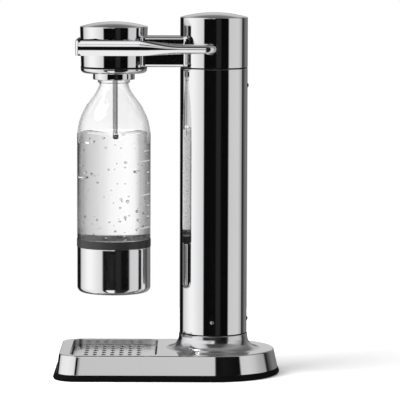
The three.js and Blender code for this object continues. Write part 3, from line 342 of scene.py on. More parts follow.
def piece(mesh, look, body, slot, *nodes):
    """Places a mesh as a piece of the machine, in its finish, on its body, for CAD nodes."""
    thing = bpy.data.objects.new(mesh.name, mesh)
    scene.collection.objects.link(thing)
    mesh.materials.append(look)
    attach(thing, body)
    if nodes:
        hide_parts(*nodes)
    return thing


def quarter(centre, height, radius, start, end, steps=7):
    """Profile points on an arc about (centre, height), angles in degrees."""
    angle = np.radians(np.linspace(start, end, steps))
    return [centre, height] + radius * aimed(angle)


def waved(tree, shader, place, scale, detail, strength, depth):
    """Tilts a shader's surface by the slope of noise of a scale, read as height."""
    speck = tree.nodes.new("ShaderNodeTexNoise")
    speck.inputs["Scale"].default_value = scale
    speck.inputs["Detail"].default_value = detail
    tree.links.new(place.outputs["Object"], speck.inputs["Vector"])
    ripple = tree.nodes.new("ShaderNodeBump")
    ripple.inputs["Strength"].default_value = strength
    ripple.inputs["Distance"].default_value = depth
    tree.links.new(speck.outputs["Fac"], ripple.inputs["Height"])
    tree.links.new(ripple.outputs["Normal"], shader.inputs["Normal"])


def finish(name, color, roughness, metallic=0.0, grain=400.0, spread=0.04, bump=0.02, depth=2e-5):
    """Material whose roughness and tint wander with one noise, its surface with another."""
    look = bpy.data.materials.new(name)
    look.use_nodes = True
    tree = look.node_tree
    shader = tree.nodes["Principled BSDF"]
    shader.inputs["Metallic"].default_value = metallic
    place = tree.nodes.new("ShaderNodeTexCoord")
    cloud = tree.nodes.new("ShaderNodeTexNoise")
    cloud.inputs["Scale"].default_value = grain / 8.0
    cloud.inputs["Detail"].default_value = 4.0
    tree.links.new(place.outputs["Object"], cloud.inputs["Vector"])
    spreader = tree.nodes.new("ShaderNodeMapRange")
    spreader.inputs["To Min"].default_value = max(0.0, roughness - spread)
    spreader.inputs["To Max"].default_value = roughness + spread
    tree.links.new(cloud.outputs["Fac"], spreader.inputs["Value"])
    tree.links.new(spreader.outputs["Result"], shader.inputs["Roughness"])
    darker = tuple(0.94 * part for part in color)
    paler = tuple(min(1.0, 1.04 * part) for part in color)
    tint = blended(tree, cloud.outputs["Fac"], darker, paler)
    tree.links.new(tint, shader.inputs["Base Color"])
    waved(tree, shader, place, grain, 3.0, bump, depth)
    return look


rubber = finish(
    "black_rubber", (0.0035, 0.0035, 0.0037), 0.65, grain=1800.0, spread=0.12, bump=0.5, depth=6e-5
)
rubber.node_tree.nodes["Principled BSDF"].inputs["Specular IOR Level"].default_value = 0.04

pad_half, pad_front, pad_corner, pad_height = 0.0760, 0.1285, 0.0265, 0.0072
foot_half, foot_front, shell_corner, lip = 0.074, 0.1242, 0.023, 0.0003
well_radius, pad_round = 0.033, 0.003
pad_profile = np.concatenate([
    [[4 * pad_round, 0.0]], [[1.2 * pad_round, 0.0]],
    quarter(pad_round, pad_round, pad_round, 270, 180)[1:],
])
pad_rows = [
    risen(footprint(pad_half - inset, pad_front - inset, pad_corner - inset), height)
    for inset, height in pad_profile
]
pad_size = np.array([pad_half, pad_front, pad_corner])
seat_size = np.array([foot_half, foot_front, shell_corner])
flank = [(0.03, 0.0031), (0.10, 0.0036), (0.90, 0.0067), (0.97, 0.0070), (1.0, pad_height)]
pad_rows += [
    risen(footprint(*(pad_size + (seat_size + lip - pad_size) * share)), height)
    for share, height in flank
]
pad_rows += [risen(footprint(*(seat_size - inset)), pad_height) for inset in (0.001, 0.012)]
outer_loop = footprint(pad_half, pad_front, pad_corner)
well_turn = np.arctan2(outer_loop[:, 1], outer_loop[:, 0] - column_x)
well_loop = [column_x, 0.0] + well_radius * aimed(well_turn)
well_foot, well_top = risen(well_loop, 0.0), risen(well_loop, pad_height)
pad_grid = np.stack([well_foot] + pad_rows + [well_top, well_foot])
pad_mesh = as_mesh("foot_pad", [(pad_grid, skin_faces(len(pad_grid), len(outer_loop)))])
piece(pad_mesh, rubber, "machine", "black_rubber", "base_pad")

# Base shell: one deep-drawn sheet of stainless steel, polished like a mirror. A drip
# recess is pressed into its front half, and its back half sweeps up into the collar.
steel = finish(
    "mirror_steel", (0.80, 0.80, 0.81), 0.045, metallic=1.0, grain=70.0, spread=0.02, bump=0.012,
    depth=1e-4,
)

shell_foot, shell_top = 0.0072, 0.0288
top_half, top_front = 0.06925, 0.1219
shell_edge, shell_sheet = 0.0013, 0.0012
close = 0.0004  # step beside an edge that keeps it crisp
recess_centre = np.array([-0.0604, 0.0])
recess_half, recess_corner, least_corner = (0.0488, 0.062), 0.010, 0.002
ledge_height, basin_height = 0.0213, 0.0121
ledge_width, fold = 0.004, 0.0008
collar_radius, flare_radius, collar_top = 0.0392, 0.015, 0.0465


def shell_row(height, inset):
    """Loop of the shell at a height: its width and front shrink evenly towards the top."""
    share = (height - shell_foot) / (shell_top - shell_foot)
    half = foot_half + (top_half - foot_half) * share - inset
    front = foot_front + (top_front - foot_front) * share - inset
    return risen(footprint(half, front, shell_corner - inset), height)


def reach(half, corner, angle):
    """Distance from the centre of a rounded rectangle to its edge, along each angle."""
    way = np.abs(aimed(angle).T)
    straight = np.min(np.array(half)[:, None] / np.maximum(way, 1e-9), axis=0)
    centre = np.maximum(np.array(half) - corner, 0.0)
    hit = straight * way
    along = way[0] * centre[0] + way[1] * centre[1]
    under = np.maximum(along ** 2 - centre @ centre + corner ** 2, 0.0)
    rounded = along + np.sqrt(under)
    in_corner = (hit[0] > centre[0]) & (hit[1] > centre[1])
    return np.where(in_corner, rounded, straight)


wall_rows = [
    shell_row(shell_foot, 0.0), shell_row(shell_foot + close, 0.0),
    shell_row(shell_top - shell_edge - close, 0.0),
]
edge_turn = np.radians(np.linspace(0, 90, 9))
wall_rows += [
    shell_row(shell_top - shell_edge + shell_edge * np.sin(turn), shell_edge * (1 - np.cos(turn)))
    for turn in edge_turn
]
wall_rows.append(shell_row(shell_top, shell_edge + close))
rim = wall_rows[-1][:, :2]
wall = (np.stack(wall_rows), skin_faces(len(wall_rows), len(rim)))

on_split = np.flatnonzero(np.abs(rim[:, 0] - split_x) < 1e-7)
left_end, right_end = on_split.min(), on_split.max()
seam_y = np.linspace(rim[left_end, 1], -rim[left_end, 1], 72)[1:-1]
seam = np.stack([np.full(seam_y.size, split_x), seam_y], axis=1)
front_loop = np.concatenate([rim[left_end:right_end + 1], seam[::-1]])
back_loop = np.concatenate([rim[right_end:], rim[:left_end + 1], seam])


def inward(outer, inner):
    """Rows from an outer loop to an inner one, with a close row beside each."""
    return [outer + (inner - outer) * share for share in (0.0, 0.02, 0.98, 1.0)]


front_turn = np.arctan2(front_loop[:, 1], front_loop[:, 0] - recess_centre[0])
recess_profile = np.concatenate([
    quarter(-fold, shell_top - fold, fold, 90, 0, 6), [[0.0, shell_top - fold - 0.0005]],
    [[0.0, ledge_height + fold + 0.0006]], quarter(fold, ledge_height + fold, fold, 180, 270, 5),
    [[ledge_width, ledge_height]], [[ledge_width + close, ledge_height - close]],
    [[ledge_width + close, basin_height + fold]],
    quarter(ledge_width + close + fold, basin_height + fold, fold, 180, 270, 5),
    [[ledge_width + close + fold + 0.0014, basin_height]],
])


def recess_row(inset, height):
    """Rounded rectangle about the recess centre, set in, at the angles of the loop round it."""
    half = (recess_half[0] - inset, recess_half[1] - inset)
    radius = reach(half, max(recess_corner - inset, least_corner), front_turn)
    return risen(recess_centre + radius[:, None] * aimed(front_turn), height)


recess_rows = [recess_row(inset, height) for inset, height in recess_profile]
front_rows = inward(risen(front_loop, shell_top), recess_rows[0])
centre_row = np.tile(np.append(recess_centre, basin_height), (len(front_loop), 1))
front_grid = np.stack(front_rows + recess_rows[1:] + [centre_row])
front_part = (front_grid, skin_faces(len(front_grid), len(front_loop)))

back_turn = np.arctan2(back_loop[:, 1], back_loop[:, 0] - column_x)
flare = quarter(collar_radius + flare_radius, shell_top + flare_radius, flare_radius, 270, 180, 20)
collar_profile = np.concatenate([
    flare, [[collar_radius, collar_top - 0.0005]], [[collar_radius - close, collar_top]],
    [[collar_radius - 0.0014, collar_top]], [[collar_radius - 0.0015, collar_top - 0.004]],
])
collar_rows = [
    risen([column_x, 0.0] + radius * aimed(back_turn), height)
    for radius, height in collar_profile
]
back_rows = inward(risen(back_loop, shell_top), collar_rows[0])
back_grid = np.stack(back_rows + collar_rows[1:])
back_part = (back_grid, skin_faces(len(back_grid), len(back_loop)))
shell_mesh = as_mesh("base_shell_skin", [wall, front_part, back_part])
shell_piece = piece(shell_mesh, steel, "machine", "polished_steel", "base_shell")
# Recess finish: a rougher drawn steel whose darker tint is painted shade in the recess.
recess_painted_shade_steel = finish(
    "drawn_steel_painted_shade", (0.52, 0.52, 0.53), 0.28, metallic=1.0, grain=300.0, spread=0.06, bump=0.05,
    depth=5e-5,
)
# Flare finish: a rougher steel whose tint, darker than the shell's, is painted shade.
flare_painted_shade_steel = finish(
    "flare_painted_shade_steel", (0.72, 0.72, 0.73), 0.14, metallic=1.0, grain=120.0, spread=0.03, bump=0.01,
    depth=1e-4,
)


def face_centres(mesh):
    """Middles of a mesh's faces, one row of x, y and z for each."""
    centres = np.empty(3 * len(mesh.polygons))
    mesh.polygons.foreach_get("center", centres)
    return centres.reshape(-1, 3)


# Painted shade: the recess's duller drawn finish is darker, its ledge is black rubber, and the
# flare darker steel of its own.
for look in (recess_painted_shade_steel, rubber, flare_painted_shade_steel):
    shell_mesh.materials.append(look)
centre = face_centres(shell_mesh)
in_recess = np.all(np.abs(centre[:, :2] - recess_centre) < np.array(recess_half) + 1e-5, axis=1)
in_recess &= centre[:, 2] < shell_top - close
# The ledge's black rubber is painted shade in the gap round the plate.
ledge_painted_shade = in_recess & (np.abs(centre[:, 2] - ledge_height) < 0.0003)
from_column = np.hypot(centre[:, 0] - column_x, centre[:, 1])
on_flare = (from_column < collar_radius + flare_radius - close) & (centre[:, 2] > shell_top + 1e-5)
shell_mesh.polygons.foreach_set(
    "material_index", in_recess.astype(np.int32) + ledge_painted_shade + 3 * on_flare
)
shell_wall = shell_piece.modifiers.new("sheet", "SOLIDIFY")
shell_wall.thickness = shell_sheet
shell_wall.offset = -1.0

# Drip plate: punched stainless plate that lies on the ledge of the recess. Its slots
# stand in even rows and run across the machine.
pitch = np.array([0.010, 0.016])
slot_half, lip_share, field_count = (0.0022, 0.00525), 0.12, (7, 7)
plate_centre = np.array([-0.0606, 0.0])
field_centre = np.array([-0.0625, 0.0])
plate_half = (0.0469, 0.060)
plate_corner, plate_top, plate_thickness = 0.008, 0.0225, 0.0012

corner_angle = np.arctan2(pitch[1], pitch[0])
first_quarter = np.concatenate([
    np.linspace(0.0, corner_angle, 8)[:-1], np.linspace(corner_angle, np.pi / 2, 6)[:-1],
])
half_turn = np.concatenate([first_quarter, [np.pi / 2], np.pi - first_quarter[:0:-1]])
cell_turn = np.concatenate([half_turn, half_turn + np.pi])
ways = aimed(cell_turn)
slot_reach = reach(slot_half, slot_half[0], cell_turn)[:, None] * ways
cell_reach = reach(tuple(pitch / 2), 0.0, cell_turn)[:, None] * ways
beside_slot = slot_reach + (cell_reach - slot_reach) * lip_share
cell_rows = np.stack([slot_reach, beside_slot, cell_reach])
step_x = (np.arange(field_count[0]) - (field_count[0] - 1) / 2) * pitch[0]
step_y = (np.arange(field_count[1]) - (field_count[1] - 1) / 2) * pitch[1]
steps = np.stack(np.meshgrid(step_x, step_y, indexing="ij"), axis=-1).reshape(-1, 2)
cells = cell_rows[None] + steps[:, None, None, :] + field_centre
cell_points = np.concatenate([cells, np.full(cells.shape[:-1] + (1,), plate_top)], axis=-1)
cell_faces = skin_faces(3, len(cell_turn))
shift = np.arange(len(steps))[:, None, None] * (3 * len(cell_turn))
field_faces = (cell_faces[None] + shift).reshape(-1, 4)
field_half = pitch * np.array(field_count) / 2
outer_ring = cells[:, 2].reshape(-1, 2) - field_centre
on_edge = (np.abs(np.abs(outer_ring[:, 0]) - field_half[0]) < 1e-7) | (
    np.abs(np.abs(outer_ring[:, 1]) - field_half[1]) < 1e-7)
edge_points = np.unique(np.round(outer_ring[on_edge], 8), axis=0)
edge_turns = np.arctan2(edge_points[:, 1], edge_points[:, 0])
order = np.argsort(edge_turns)
edge_points, edge_turns = edge_points[order] + field_centre, edge_turns[order]
plate_turns = np.arctan2(edge_points[:, 1], edge_points[:, 0] - plate_centre[0])
plate_reach = reach(plate_half, plate_corner, plate_turns)[:, None]
plate_edge = plate_centre + plate_reach * aimed(plate_turns)
margin = np.stack([risen(edge_points, plate_top), risen(plate_edge, plate_top)])
plate_mesh = as_mesh("drip_plate_skin", [
    (cell_points, field_faces), (margin, skin_faces(2, len(edge_points))),
])
plate_look = finish(
    "punched_steel", (0.96, 0.96, 0.96), 0.16, metallic=1.0, grain=500.0, spread=0.06, bump=0.08,
    depth=5e-5,
)
plate_piece = piece(plate_mesh, plate_look, "plate", "polished_steel", "drip_plate")
if plate_mesh.polygons[0].normal.z < 0:
    plate_mesh.flip_normals()
plate_depth = plate_piece.modifiers.new("sheet", "SOLIDIFY")
plate_depth.thickness = plate_thickness
plate_depth.offset = -1.0
plate_edges = plate_piece.modifiers.new("eased_edges", "BEVEL")
plate_edges.width = 0.00025
plate_edges.segments = 2
plate_edges.limit_method = "ANGLE"

# Column: a drawn stainless tube of 78 mm between two dark seams. Small black buttons keep
# its back off a wall, and a domed pin sits low on each side.
column_radius, tube_wall, tube_ease = 0.0384, 0.0012, 0.0003
tube_foot, tube_top = 0.0475, 0.3489
button_size, pin_size = (0.0026, 0.0016), (0.00225, 0.0011)
button_heights, pin_height, pin_lead = (0.0628, 0.3296), 0.0622, -0.0015


def turned(profile, axis_x, count=256):
    """Surface of revolution: (r, z) at angle a goes to (x + r cos a, r sin a, z)."""
    profile = np.asarray(profile, float)
    angle = np.linspace(0.0, 2.0 * np.pi, count, endpoint=False)
    radius = profile[:, :1]
    heights = np.broadcast_to(profile[:, 1:], (len(profile), count))
    points = np.stack([axis_x + radius * np.cos(angle), radius * np.sin(angle), heights], axis=-1)
    return points, skin_faces(len(profile), count)


def braced(profile, reach_in=0.0005):
    """Adds a close point at both ends of each long straight run, so that flats stay flat."""
    profile = np.asarray(profile, float)
    rows = [profile[:1]]
    for start, end in zip(profile[:-1], profile[1:]):
        length = np.linalg.norm(end - start)
        if length > 4 * reach_in:
            way = (end - start) / length * reach_in
            rows += [[start + way], [end - way]]
        rows.append([end])
    return np.concatenate(rows)


def eased_ring(bore, radius, low, high, ease):
    """Profile of a ring: a rectangle whose two outer corners are cut off by an ease."""
    return braced([
        [bore, low], [radius - ease, low], [radius, low + ease], [radius, high - ease],
        [radius - ease, high], [bore, high], [bore, low],
    ])


tube_profile = eased_ring(
    column_radius - tube_wall, column_radius, tube_foot, tube_top, tube_ease
)
tube_mesh = as_mesh("column_skin", [turned(tube_profile, column_x)])
piece(tube_mesh, steel, "machine", "polished_steel", "column_tube")


def button_points(radius, rise, height, bearing):
    """Domed disc on the column: an ellipse profile turned about a radial axis."""
    seat = column_radius - 0.0004
    dome = quarter(0.0, 0.0, 1.0, 0, 90, 9) * [radius, rise]
    profile = np.concatenate([[[0.0, -0.0006]], [[radius, -0.0006]], dome])
    points, faces = turned(profile, 0.0, 48)
    out, across, up = points[..., 2] + seat, points[..., 0], points[..., 1]
    x = column_x + out * np.cos(bearing) - across * np.sin(bearing)
    y = out * np.sin(bearing) + across * np.cos(bearing)
    return np.stack([x, y, up + height], axis=-1), faces


for name, height in zip(("bumper_low", "bumper_high"), button_heights):
    button_mesh = as_mesh(name + "_cap", [button_points(*button_size, height, 0.0)])
    piece(button_mesh, rubber, "machine", "black_rubber", name)
pin_bearing = np.arccos(pin_lead / column_radius)
pin_steel = finish("pin_steel", (0.45, 0.45, 0.46), 0.18, metallic=1.0, grain=900.0, spread=0.05)
for name, bearing in (("side_pin_far", pin_bearing), ("side_pin_near", -pin_bearing)):
    button_mesh = as_mesh(name + "_cap", [button_points(*pin_size, pin_height, bearing)])
    piece(button_mesh, pin_steel, "machine", "polished_steel", name)

# Top housing: pressed and welded stainless shell over the column, the bridge and the
# head. Each drum has a crisp rim and a shallow domed lid.
head_x, housing_foot = -0.0611, 0.3504
column_rim, column_rise = 0.4072, 0.0050
head_radius, head_foot_radius = 0.03845, 0.0374
head_rim, head_rise = 0.3963, 0.0052
rim_round, rim_lean, drum_wall, drum_ease = 0.0013, 12, 0.0014, 0.0003
bridge_half, bridge_low, bridge_high = 0.020, 0.3507, 0.3853
bridge_fillet, bridge_round = 0.006, 0.003


def lidded(foot_radius, radius, rim_height, rise):
    """Drum profile: wall, rounded rim, then a spherical cap whose edge is the rim."""
    edge = radius - rim_round
    sphere = (edge ** 2 + rise ** 2) / (2 * rise)
    across = edge * np.cos(np.linspace(0.0, np.pi / 2, 40))
    domed = rim_height + rise - sphere + np.sqrt(sphere ** 2 - across ** 2)
    cap = np.stack([across, domed], axis=1)
    cap[-1, 0] = 0.0
    wall = braced([
        [foot_radius - drum_wall, housing_foot + 0.003], [foot_radius - drum_wall, housing_foot],
        [foot_radius - drum_ease, housing_foot], [foot_radius, housing_foot + drum_ease],
        [radius, rim_height - rim_round],
    ])
    lip = quarter(edge, rim_height - rim_round, rim_round, 0, 90 - rim_lean, 8)
    return np.concatenate([wall, lip[1:], cap[1:]])


column_drum = turned(lidded(column_radius, column_radius, column_rim, column_rise), column_x)
head_drum = turned(lidded(head_foot_radius, head_radius, head_rim, head_rise), head_x)


def flared_half(x):
    """Half width of the bridge at x: even, then a quarter arc out to each drum."""
    widening = bridge_half + bridge_fillet
    to_column = column_x - np.sqrt((column_radius + bridge_fillet) ** 2 - widening ** 2)
    to_head = head_x + np.sqrt((head_radius + bridge_fillet) ** 2 - widening ** 2)
    past = np.maximum(np.maximum(x - to_column, to_head - x), 0.0)
    past = np.minimum(past, bridge_fillet * 0.85)
    return widening - np.sqrt(bridge_fillet ** 2 - past ** 2)


station = np.concatenate([
    [head_x + 0.020], np.linspace(head_x + 0.030, head_x + 0.042, 22),
    np.linspace(head_x + 0.044, column_x - 0.046, 8),
    np.linspace(column_x - 0.042, column_x - 0.030, 22), [column_x - 0.020],
])
round_points = 9
section_turn = np.radians(np.concatenate([
    np.linspace(start, start + 90, round_points) for start in (0, 90, 180, 270)
]))
corner_sign = np.repeat([[1, 1], [-1, 1], [-1, -1], [1, -1]], round_points, axis=0)
bridge_middle = (bridge_low + bridge_high) / 2
bridge_tall = (bridge_high - bridge_low) / 2
half = flared_half(station)[:, None]
bridge_y = corner_sign[:, 0] * (half - bridge_round) + bridge_round * np.cos(section_turn)
section_z = corner_sign[:, 1] * (bridge_tall - bridge_round) + bridge_round * np.sin(section_turn)
bridge_z = np.broadcast_to(bridge_middle + section_z, bridge_y.shape)
bridge_x = np.broadcast_to(station[:, None], bridge_y.shape)
bridge_grid = np.stack([bridge_x, bridge_y, bridge_z], axis=-1)
bridge = (bridge_grid, skin_faces(len(station), len(section_turn)))
housing_mesh = as_mesh("top_housing_skin", [column_drum, head_drum, bridge])
piece(housing_mesh, steel, "machine", "polished_steel", "top_housing")

# Trim ring and socket: a rolled steel ring closes the head from below, and a polished
# collar in its middle takes the neck of the bottle.
trim_radius, trim_bore, trim_ease = 0.0376, 0.0241, 0.0006
trim_low, trim_flat, trim_band, trim_top = 0.3430, 0.0320, 0.3472, 0.3489
trim_profile = braced([
    [trim_bore, trim_low + 0.004], [trim_bore, trim_low], [trim_flat, trim_low],
])
trim_size = [trim_radius - trim_flat, trim_band - trim_low]
trim_round = quarter(0.0, 0.0, 1.0, 270, 360, 14) * trim_size + [trim_flat, trim_band]
trim_profile = np.concatenate([
    trim_profile[:-1], trim_round,
    quarter(trim_radius - trim_ease, trim_top - trim_ease, trim_ease, 0, 90, 5),
    [[0.030, trim_top]], [[trim_bore, trim_low + 0.004]],
])
trim_mesh = as_mesh("trim_ring_skin", [turned(trim_profile, head_x)])
piece(trim_mesh, steel, "machine", "polished_steel", "trim_ring")
socket_radius, socket_bore, socket_round = 0.02375, 0.0171, 0.0008
socket_low, socket_top = 0.3358, 0.3564
socket_profile = np.concatenate([
    [[socket_bore, socket_top]], [[socket_bore, socket_low + 0.0005]],
    [[socket_bore + 0.0004, socket_low]], [[0.0226, socket_low]],
    quarter(socket_radius - socket_round, socket_low + socket_round, socket_round, 270, 360),
    [[socket_radius, socket_low + socket_round + 0.0006]],
    [[socket_radius, socket_top]], [[socket_bore, socket_top]],
])
socket_mesh = as_mesh("bottle_socket_skin", [turned(socket_profile, head_x)])
piece(socket_mesh, steel, "machine", "polished_steel", "bottle_socket")

# Nozzle: a thin steel tube that dips into the bottle, with a dark tip that the gas
# leaves through.
nozzle_x = -0.0596
nozzle_radius, nozzle_bore, tip_radius, tip_bore = 0.0028, 0.0015, 0.0025, 0.0007
nozzle_top, nozzle_low, tip_low = 0.3556, 0.2735, 0.2675
nozzle_mesh = as_mesh("nozzle_tube_skin", [turned(braced([
    [nozzle_bore, nozzle_low], [nozzle_radius - 0.0003, nozzle_low],
    [nozzle_radius, nozzle_low + 0.0003], [nozzle_radius, nozzle_top],
    [nozzle_bore, nozzle_top], [nozzle_bore, nozzle_low],
]), nozzle_x, 64)])
nozzle_steel = finish(
    "nozzle_steel", (0.40, 0.40, 0.41), 0.12, metallic=1.0, grain=500.0, spread=0.05
)
piece(nozzle_mesh, nozzle_steel, "machine", "satin_steel", "nozzle_tube")
tip_mesh = as_mesh("nozzle_tip_skin", [turned([
    [tip_bore, tip_low], [0.0016, tip_low], [0.0021, tip_low + 0.0005],
    [tip_radius, tip_low + 0.0018], [tip_radius, nozzle_low], [tip_bore, nozzle_low],
    [tip_bore, tip_low],
], nozzle_x, 48)])
tip_look = finish("dark_tip", (0.05, 0.05, 0.052), 0.4, grain=700.0, spread=0.1, bump=0.2)
piece(tip_mesh, tip_look, "machine", "black_plastic", "nozzle_tip")

# Lever: one forged and polished bail. Round the head it is a flat upright band, and
# behind the head its two arms draw in to round rods that bend into the column.
pivot_x, pivot_z = 0.050, 0.3719
lever_front, lever_front_z = -0.10235, 0.3730
arm_y, lever_corner = 0.0448, 0.0032
flat_height, flat_thickness, rod_radius = 0.0171, 0.0019, 0.0054
ridge, bar_share, edge_power = 0.00145, 0.12, 0.62
taper_front, taper_back = -0.034, 0.016
bend_radius, rod_end = 0.0065, 0.0294

bar = np.linspace(0.0, arm_y - lever_corner, 12)
turn_in = np.radians(np.linspace(0, 90, 13))[1:]
arm = np.concatenate([
    np.linspace(lever_front + lever_corner, taper_front, 20)[1:],
    np.linspace(taper_front, taper_back, 40)[1:],
    np.linspace(taper_back, pivot_x - bend_radius, 10)[1:],
])
bend = np.radians(np.linspace(0, 90, 13))[1:]
half_x = np.concatenate([
    np.full(bar.size, lever_front), lever_front + lever_corner * (1 - np.cos(turn_in)), arm,
    pivot_x - bend_radius * (1 - np.sin(bend)), [pivot_x, pivot_x],
])
half_y = np.concatenate([
    bar, arm_y - lever_corner * (1 - np.sin(turn_in)), np.full(arm.size, arm_y),
    arm_y - bend_radius * (1 - np.cos(bend)), [arm_y - bend_radius - 0.001, rod_end],
])
path_x = np.concatenate([half_x[:0:-1], half_x])
path_y = np.concatenate([-half_y[:0:-1], half_y])
way_x, way_y = np.gradient(path_x), np.gradient(path_y)
length = np.hypot(way_x, way_y)
side_x, side_y = -way_y / length, way_x / length
share = np.clip((path_x - taper_front) / (taper_back - taper_front), 0.0, 1.0)
share = (share * share * (3 - 2 * share))[:, None]
# The band's section: upright, flat inside, and crowned outside but for the bar in front.
band_turn = np.linspace(0.0, 2 * np.pi, 48, endpoint=False)
lift = np.sin(band_turn)
flat_up = flat_height / 2 * np.sign(lift) * np.abs(lift) ** edge_power
past_bar = np.clip((path_x - lever_front) / lever_corner, 0.0, 1.0)[:, None]
crown = ridge * (bar_share + (1 - bar_share) * past_bar) * (2 * flat_up / flat_height) ** 2
flat_out = np.where(np.cos(band_turn) > -1e-9, flat_thickness / 2 - crown, -flat_thickness / 2)
outward = flat_out + (rod_radius * np.cos(band_turn) - flat_out) * share
upward = flat_up + (rod_radius * lift - flat_up) * share
centre_z = lever_front_z + (pivot_z - lever_front_z) * share
lever_grid = np.stack([
    path_x[:, None] + side_x[:, None] * outward, path_y[:, None] + side_y[:, None] * outward,
    centre_z + upward,
], axis=-1)


def capped(grid):
    """Closes both ends of a tube grid with a row of points drawn together at their mean."""
    first = np.broadcast_to(grid[:1].mean(axis=1, keepdims=True), grid[:1].shape)
    last = np.broadcast_to(grid[-1:].mean(axis=1, keepdims=True), grid[:1].shape)
    return np.concatenate([first, grid, last])


lever_grid = capped(lever_grid)
lever_faces = skin_faces(len(lever_grid), len(band_turn))
lever_mesh = as_mesh("lever_skin", [(lever_grid, lever_faces)], sharp=50.0)
piece(lever_mesh, steel, "lever_group", "polished_steel", "lever")

# Bottle: blown clear plastic with a thick wall, a round shoulder and a bead under its
# mouth. A black band and a drawn steel cup hold its foot.
bottle_radius, bottle_wall, mouth_height = 0.0418, 0.0020, 0.3483
neck_radius, bead_radius = 0.0168, 0.0182
foot_radius, foot_height, foot_round = 0.0405, 0.0943, 0.0065
shoulder_low, shoulder_high = 0.2740, 0.3293
radius_shares = np.array([1.0, 0.988, 0.952, 0.904, 0.82, 0.712, 0.584, 0.42, 0.24, 0.1, 0.0])
height_shares = np.array([0.0, 0.04, 0.145, 0.25, 0.36, 0.465, 0.575, 0.68, 0.79, 0.895, 1.0])


def smooth_curve(points, count):
    """Catmull-Rom curve through points, the ends doubled."""
    points = np.asarray(points, float)
    padded = np.concatenate([2 * points[:1] - points[1:2], points, 2 * points[-1:] - points[-2:-1]])
    t = np.linspace(0.0, len(points) - 1 - 1e-9, count)
    i = t.astype(int)
    f = (t - i)[:, None]
    a, b, c, d = padded[i], padded[i + 1], padded[i + 2], padded[i + 3]
    square, cube = 2 * a - 5 * b + 4 * c - d, 3 * b - a - 3 * c + d
    return 0.5 * (2 * b + (c - a) * f + square * f ** 2 + cube * f ** 3)


shoulder = smooth_curve(np.stack([
    neck_radius + (bottle_radius - neck_radius) * radius_shares,
    shoulder_low + (shoulder_high - shoulder_low) * height_shares,
], axis=1), 60)
step_height, bead_low, bead_high = 0.1544, 0.3323, 0.3353


def foot_arc(radius):
    """Rounded edge of the bottle's foot, for its outside, its inside and the water."""
    return quarter(foot_radius - foot_round, foot_height + foot_round, radius, 270, 360, 9)


outside = np.concatenate([
    [[0.0, foot_height]], foot_arc(foot_round),
    [[foot_radius, step_height]], [[bottle_radius - close, step_height]],
    [[bottle_radius, step_height + close]], shoulder, [[neck_radius, bead_low - 0.0001]],
    [[bead_radius - close, bead_low]], [[bead_radius, bead_low + close]],
    [[bead_radius, bead_high - close]], [[bead_radius - close, bead_high]],
    [[neck_radius, bead_high + 0.0001]], [[neck_radius, mouth_height - close]],
    [[neck_radius - close, mouth_height]],
])
inside = np.concatenate([
    [[0.0, foot_height + bottle_wall]], foot_arc(foot_round - bottle_wall),
    [[foot_radius - bottle_wall, 0.262]], shoulder[2:] - [bottle_wall, 0.0],
    [[neck_radius - bottle_wall, mouth_height]],
])
bottle_profile = np.concatenate([outside, inside[::-1]])
bottle_mesh = as_mesh("bottle_skin", [turned(bottle_profile, head_x, 192)])


def clear_look(name, color, index, roughness):
    """Clear plastic or water: light goes through, with a faint waviness in its surface."""
    look = bpy.data.materials.new(name)
    look.use_nodes = True
    tree = look.node_tree
    shader = tree.nodes["Principled BSDF"]
    shader.inputs["Base Color"].default_value = color + (1.0,)
    shader.inputs["Roughness"].default_value = roughness
    shader.inputs["IOR"].default_value = index
    shader.inputs["Transmission Weight"].default_value = 1.0
    waved(tree, shader, tree.nodes.new("ShaderNodeTexCoord"), 45.0, 2.0, 0.03, 0.0005)
    return look


bottle_look = clear_look("clear_plastic", (0.985, 0.985, 0.985), 1.42, 0.0)
piece(bottle_mesh, bottle_look, "bottle_group", "clear_plastic", "bottle")

band_radius, band_bore, band_low, band_high, band_ease = 0.0422, 0.0408, 0.1452, 0.1541, 0.0003
band_profile = eased_ring(band_bore, band_radius, band_low, band_high, band_ease)
band_mesh = as_mesh("bottle_band_skin", [turned(band_profile, head_x)])
band_rubber = finish("band_rubber", (0.022, 0.022, 0.023), 0.4, grain=1500.0, spread=0.1, bump=0.2)
piece(band_mesh, band_rubber, "bottle_group", "black_rubber", "bottle_band")
# The band's inside gets a pale diffuse lining: painted light that brightens the band's far side
# seen through the water.
pale_painted_light = finish("pale_band_painted_light", (0.94, 0.94, 0.94), 0.5, grain=900.0, spread=0.1, bump=0.1)
band_mesh.materials.append(pale_painted_light)
centre = face_centres(band_mesh)
inside_painted_light = np.hypot(centre[:, 0] - head_x, centre[:, 1]) < band_bore + 0.0001
band_mesh.polygons.foreach_set("material_index", inside_painted_light.astype(np.int32))

cup_low, cup_high, cup_round = 0.093, 0.1451, 0.0065
cup_sheet, cup_hollow, rim_gap = 0.001, 0.0012, 0.0001
cup_outside = np.concatenate([
    [[0.0, cup_low + cup_hollow]], [[0.026, cup_low + cup_hollow]], [[0.030, cup_low]],
    quarter(bottle_radius - cup_round, cup_low + cup_round, cup_round, 270, 360, 14),
])
cup_inside = quarter(
    bottle_radius - cup_round, cup_low + cup_round, cup_round - cup_sheet, 360, 270, 10
)
cup_profile = np.concatenate([
    braced(cup_outside[:3]), cup_outside[3:], [[bottle_radius, cup_low + cup_round + 0.001]],
    [[bottle_radius, cup_high - 0.0012]], [[bottle_radius, cup_high - 0.0007]],
    [[bottle_radius - 0.0002, cup_high - rim_gap]],
    [[bottle_radius - 0.0009, cup_high - rim_gap]],
    [[bottle_radius - cup_sheet, cup_high - 0.001]], cup_inside,
    [[0.0, cup_low + cup_hollow + cup_sheet]],
])
cup_mesh = as_mesh("bottle_cup_skin", [turned(cup_profile, head_x)])
cup_steel = finish(
    "cup_steel", (0.84, 0.84, 0.85), 0.10, metallic=1.0, grain=120.0, spread=0.03, bump=0.01,
    depth=1e-4,
)
piece(cup_mesh, cup_steel, "bottle_group", "polished_steel", "bottle_cup")

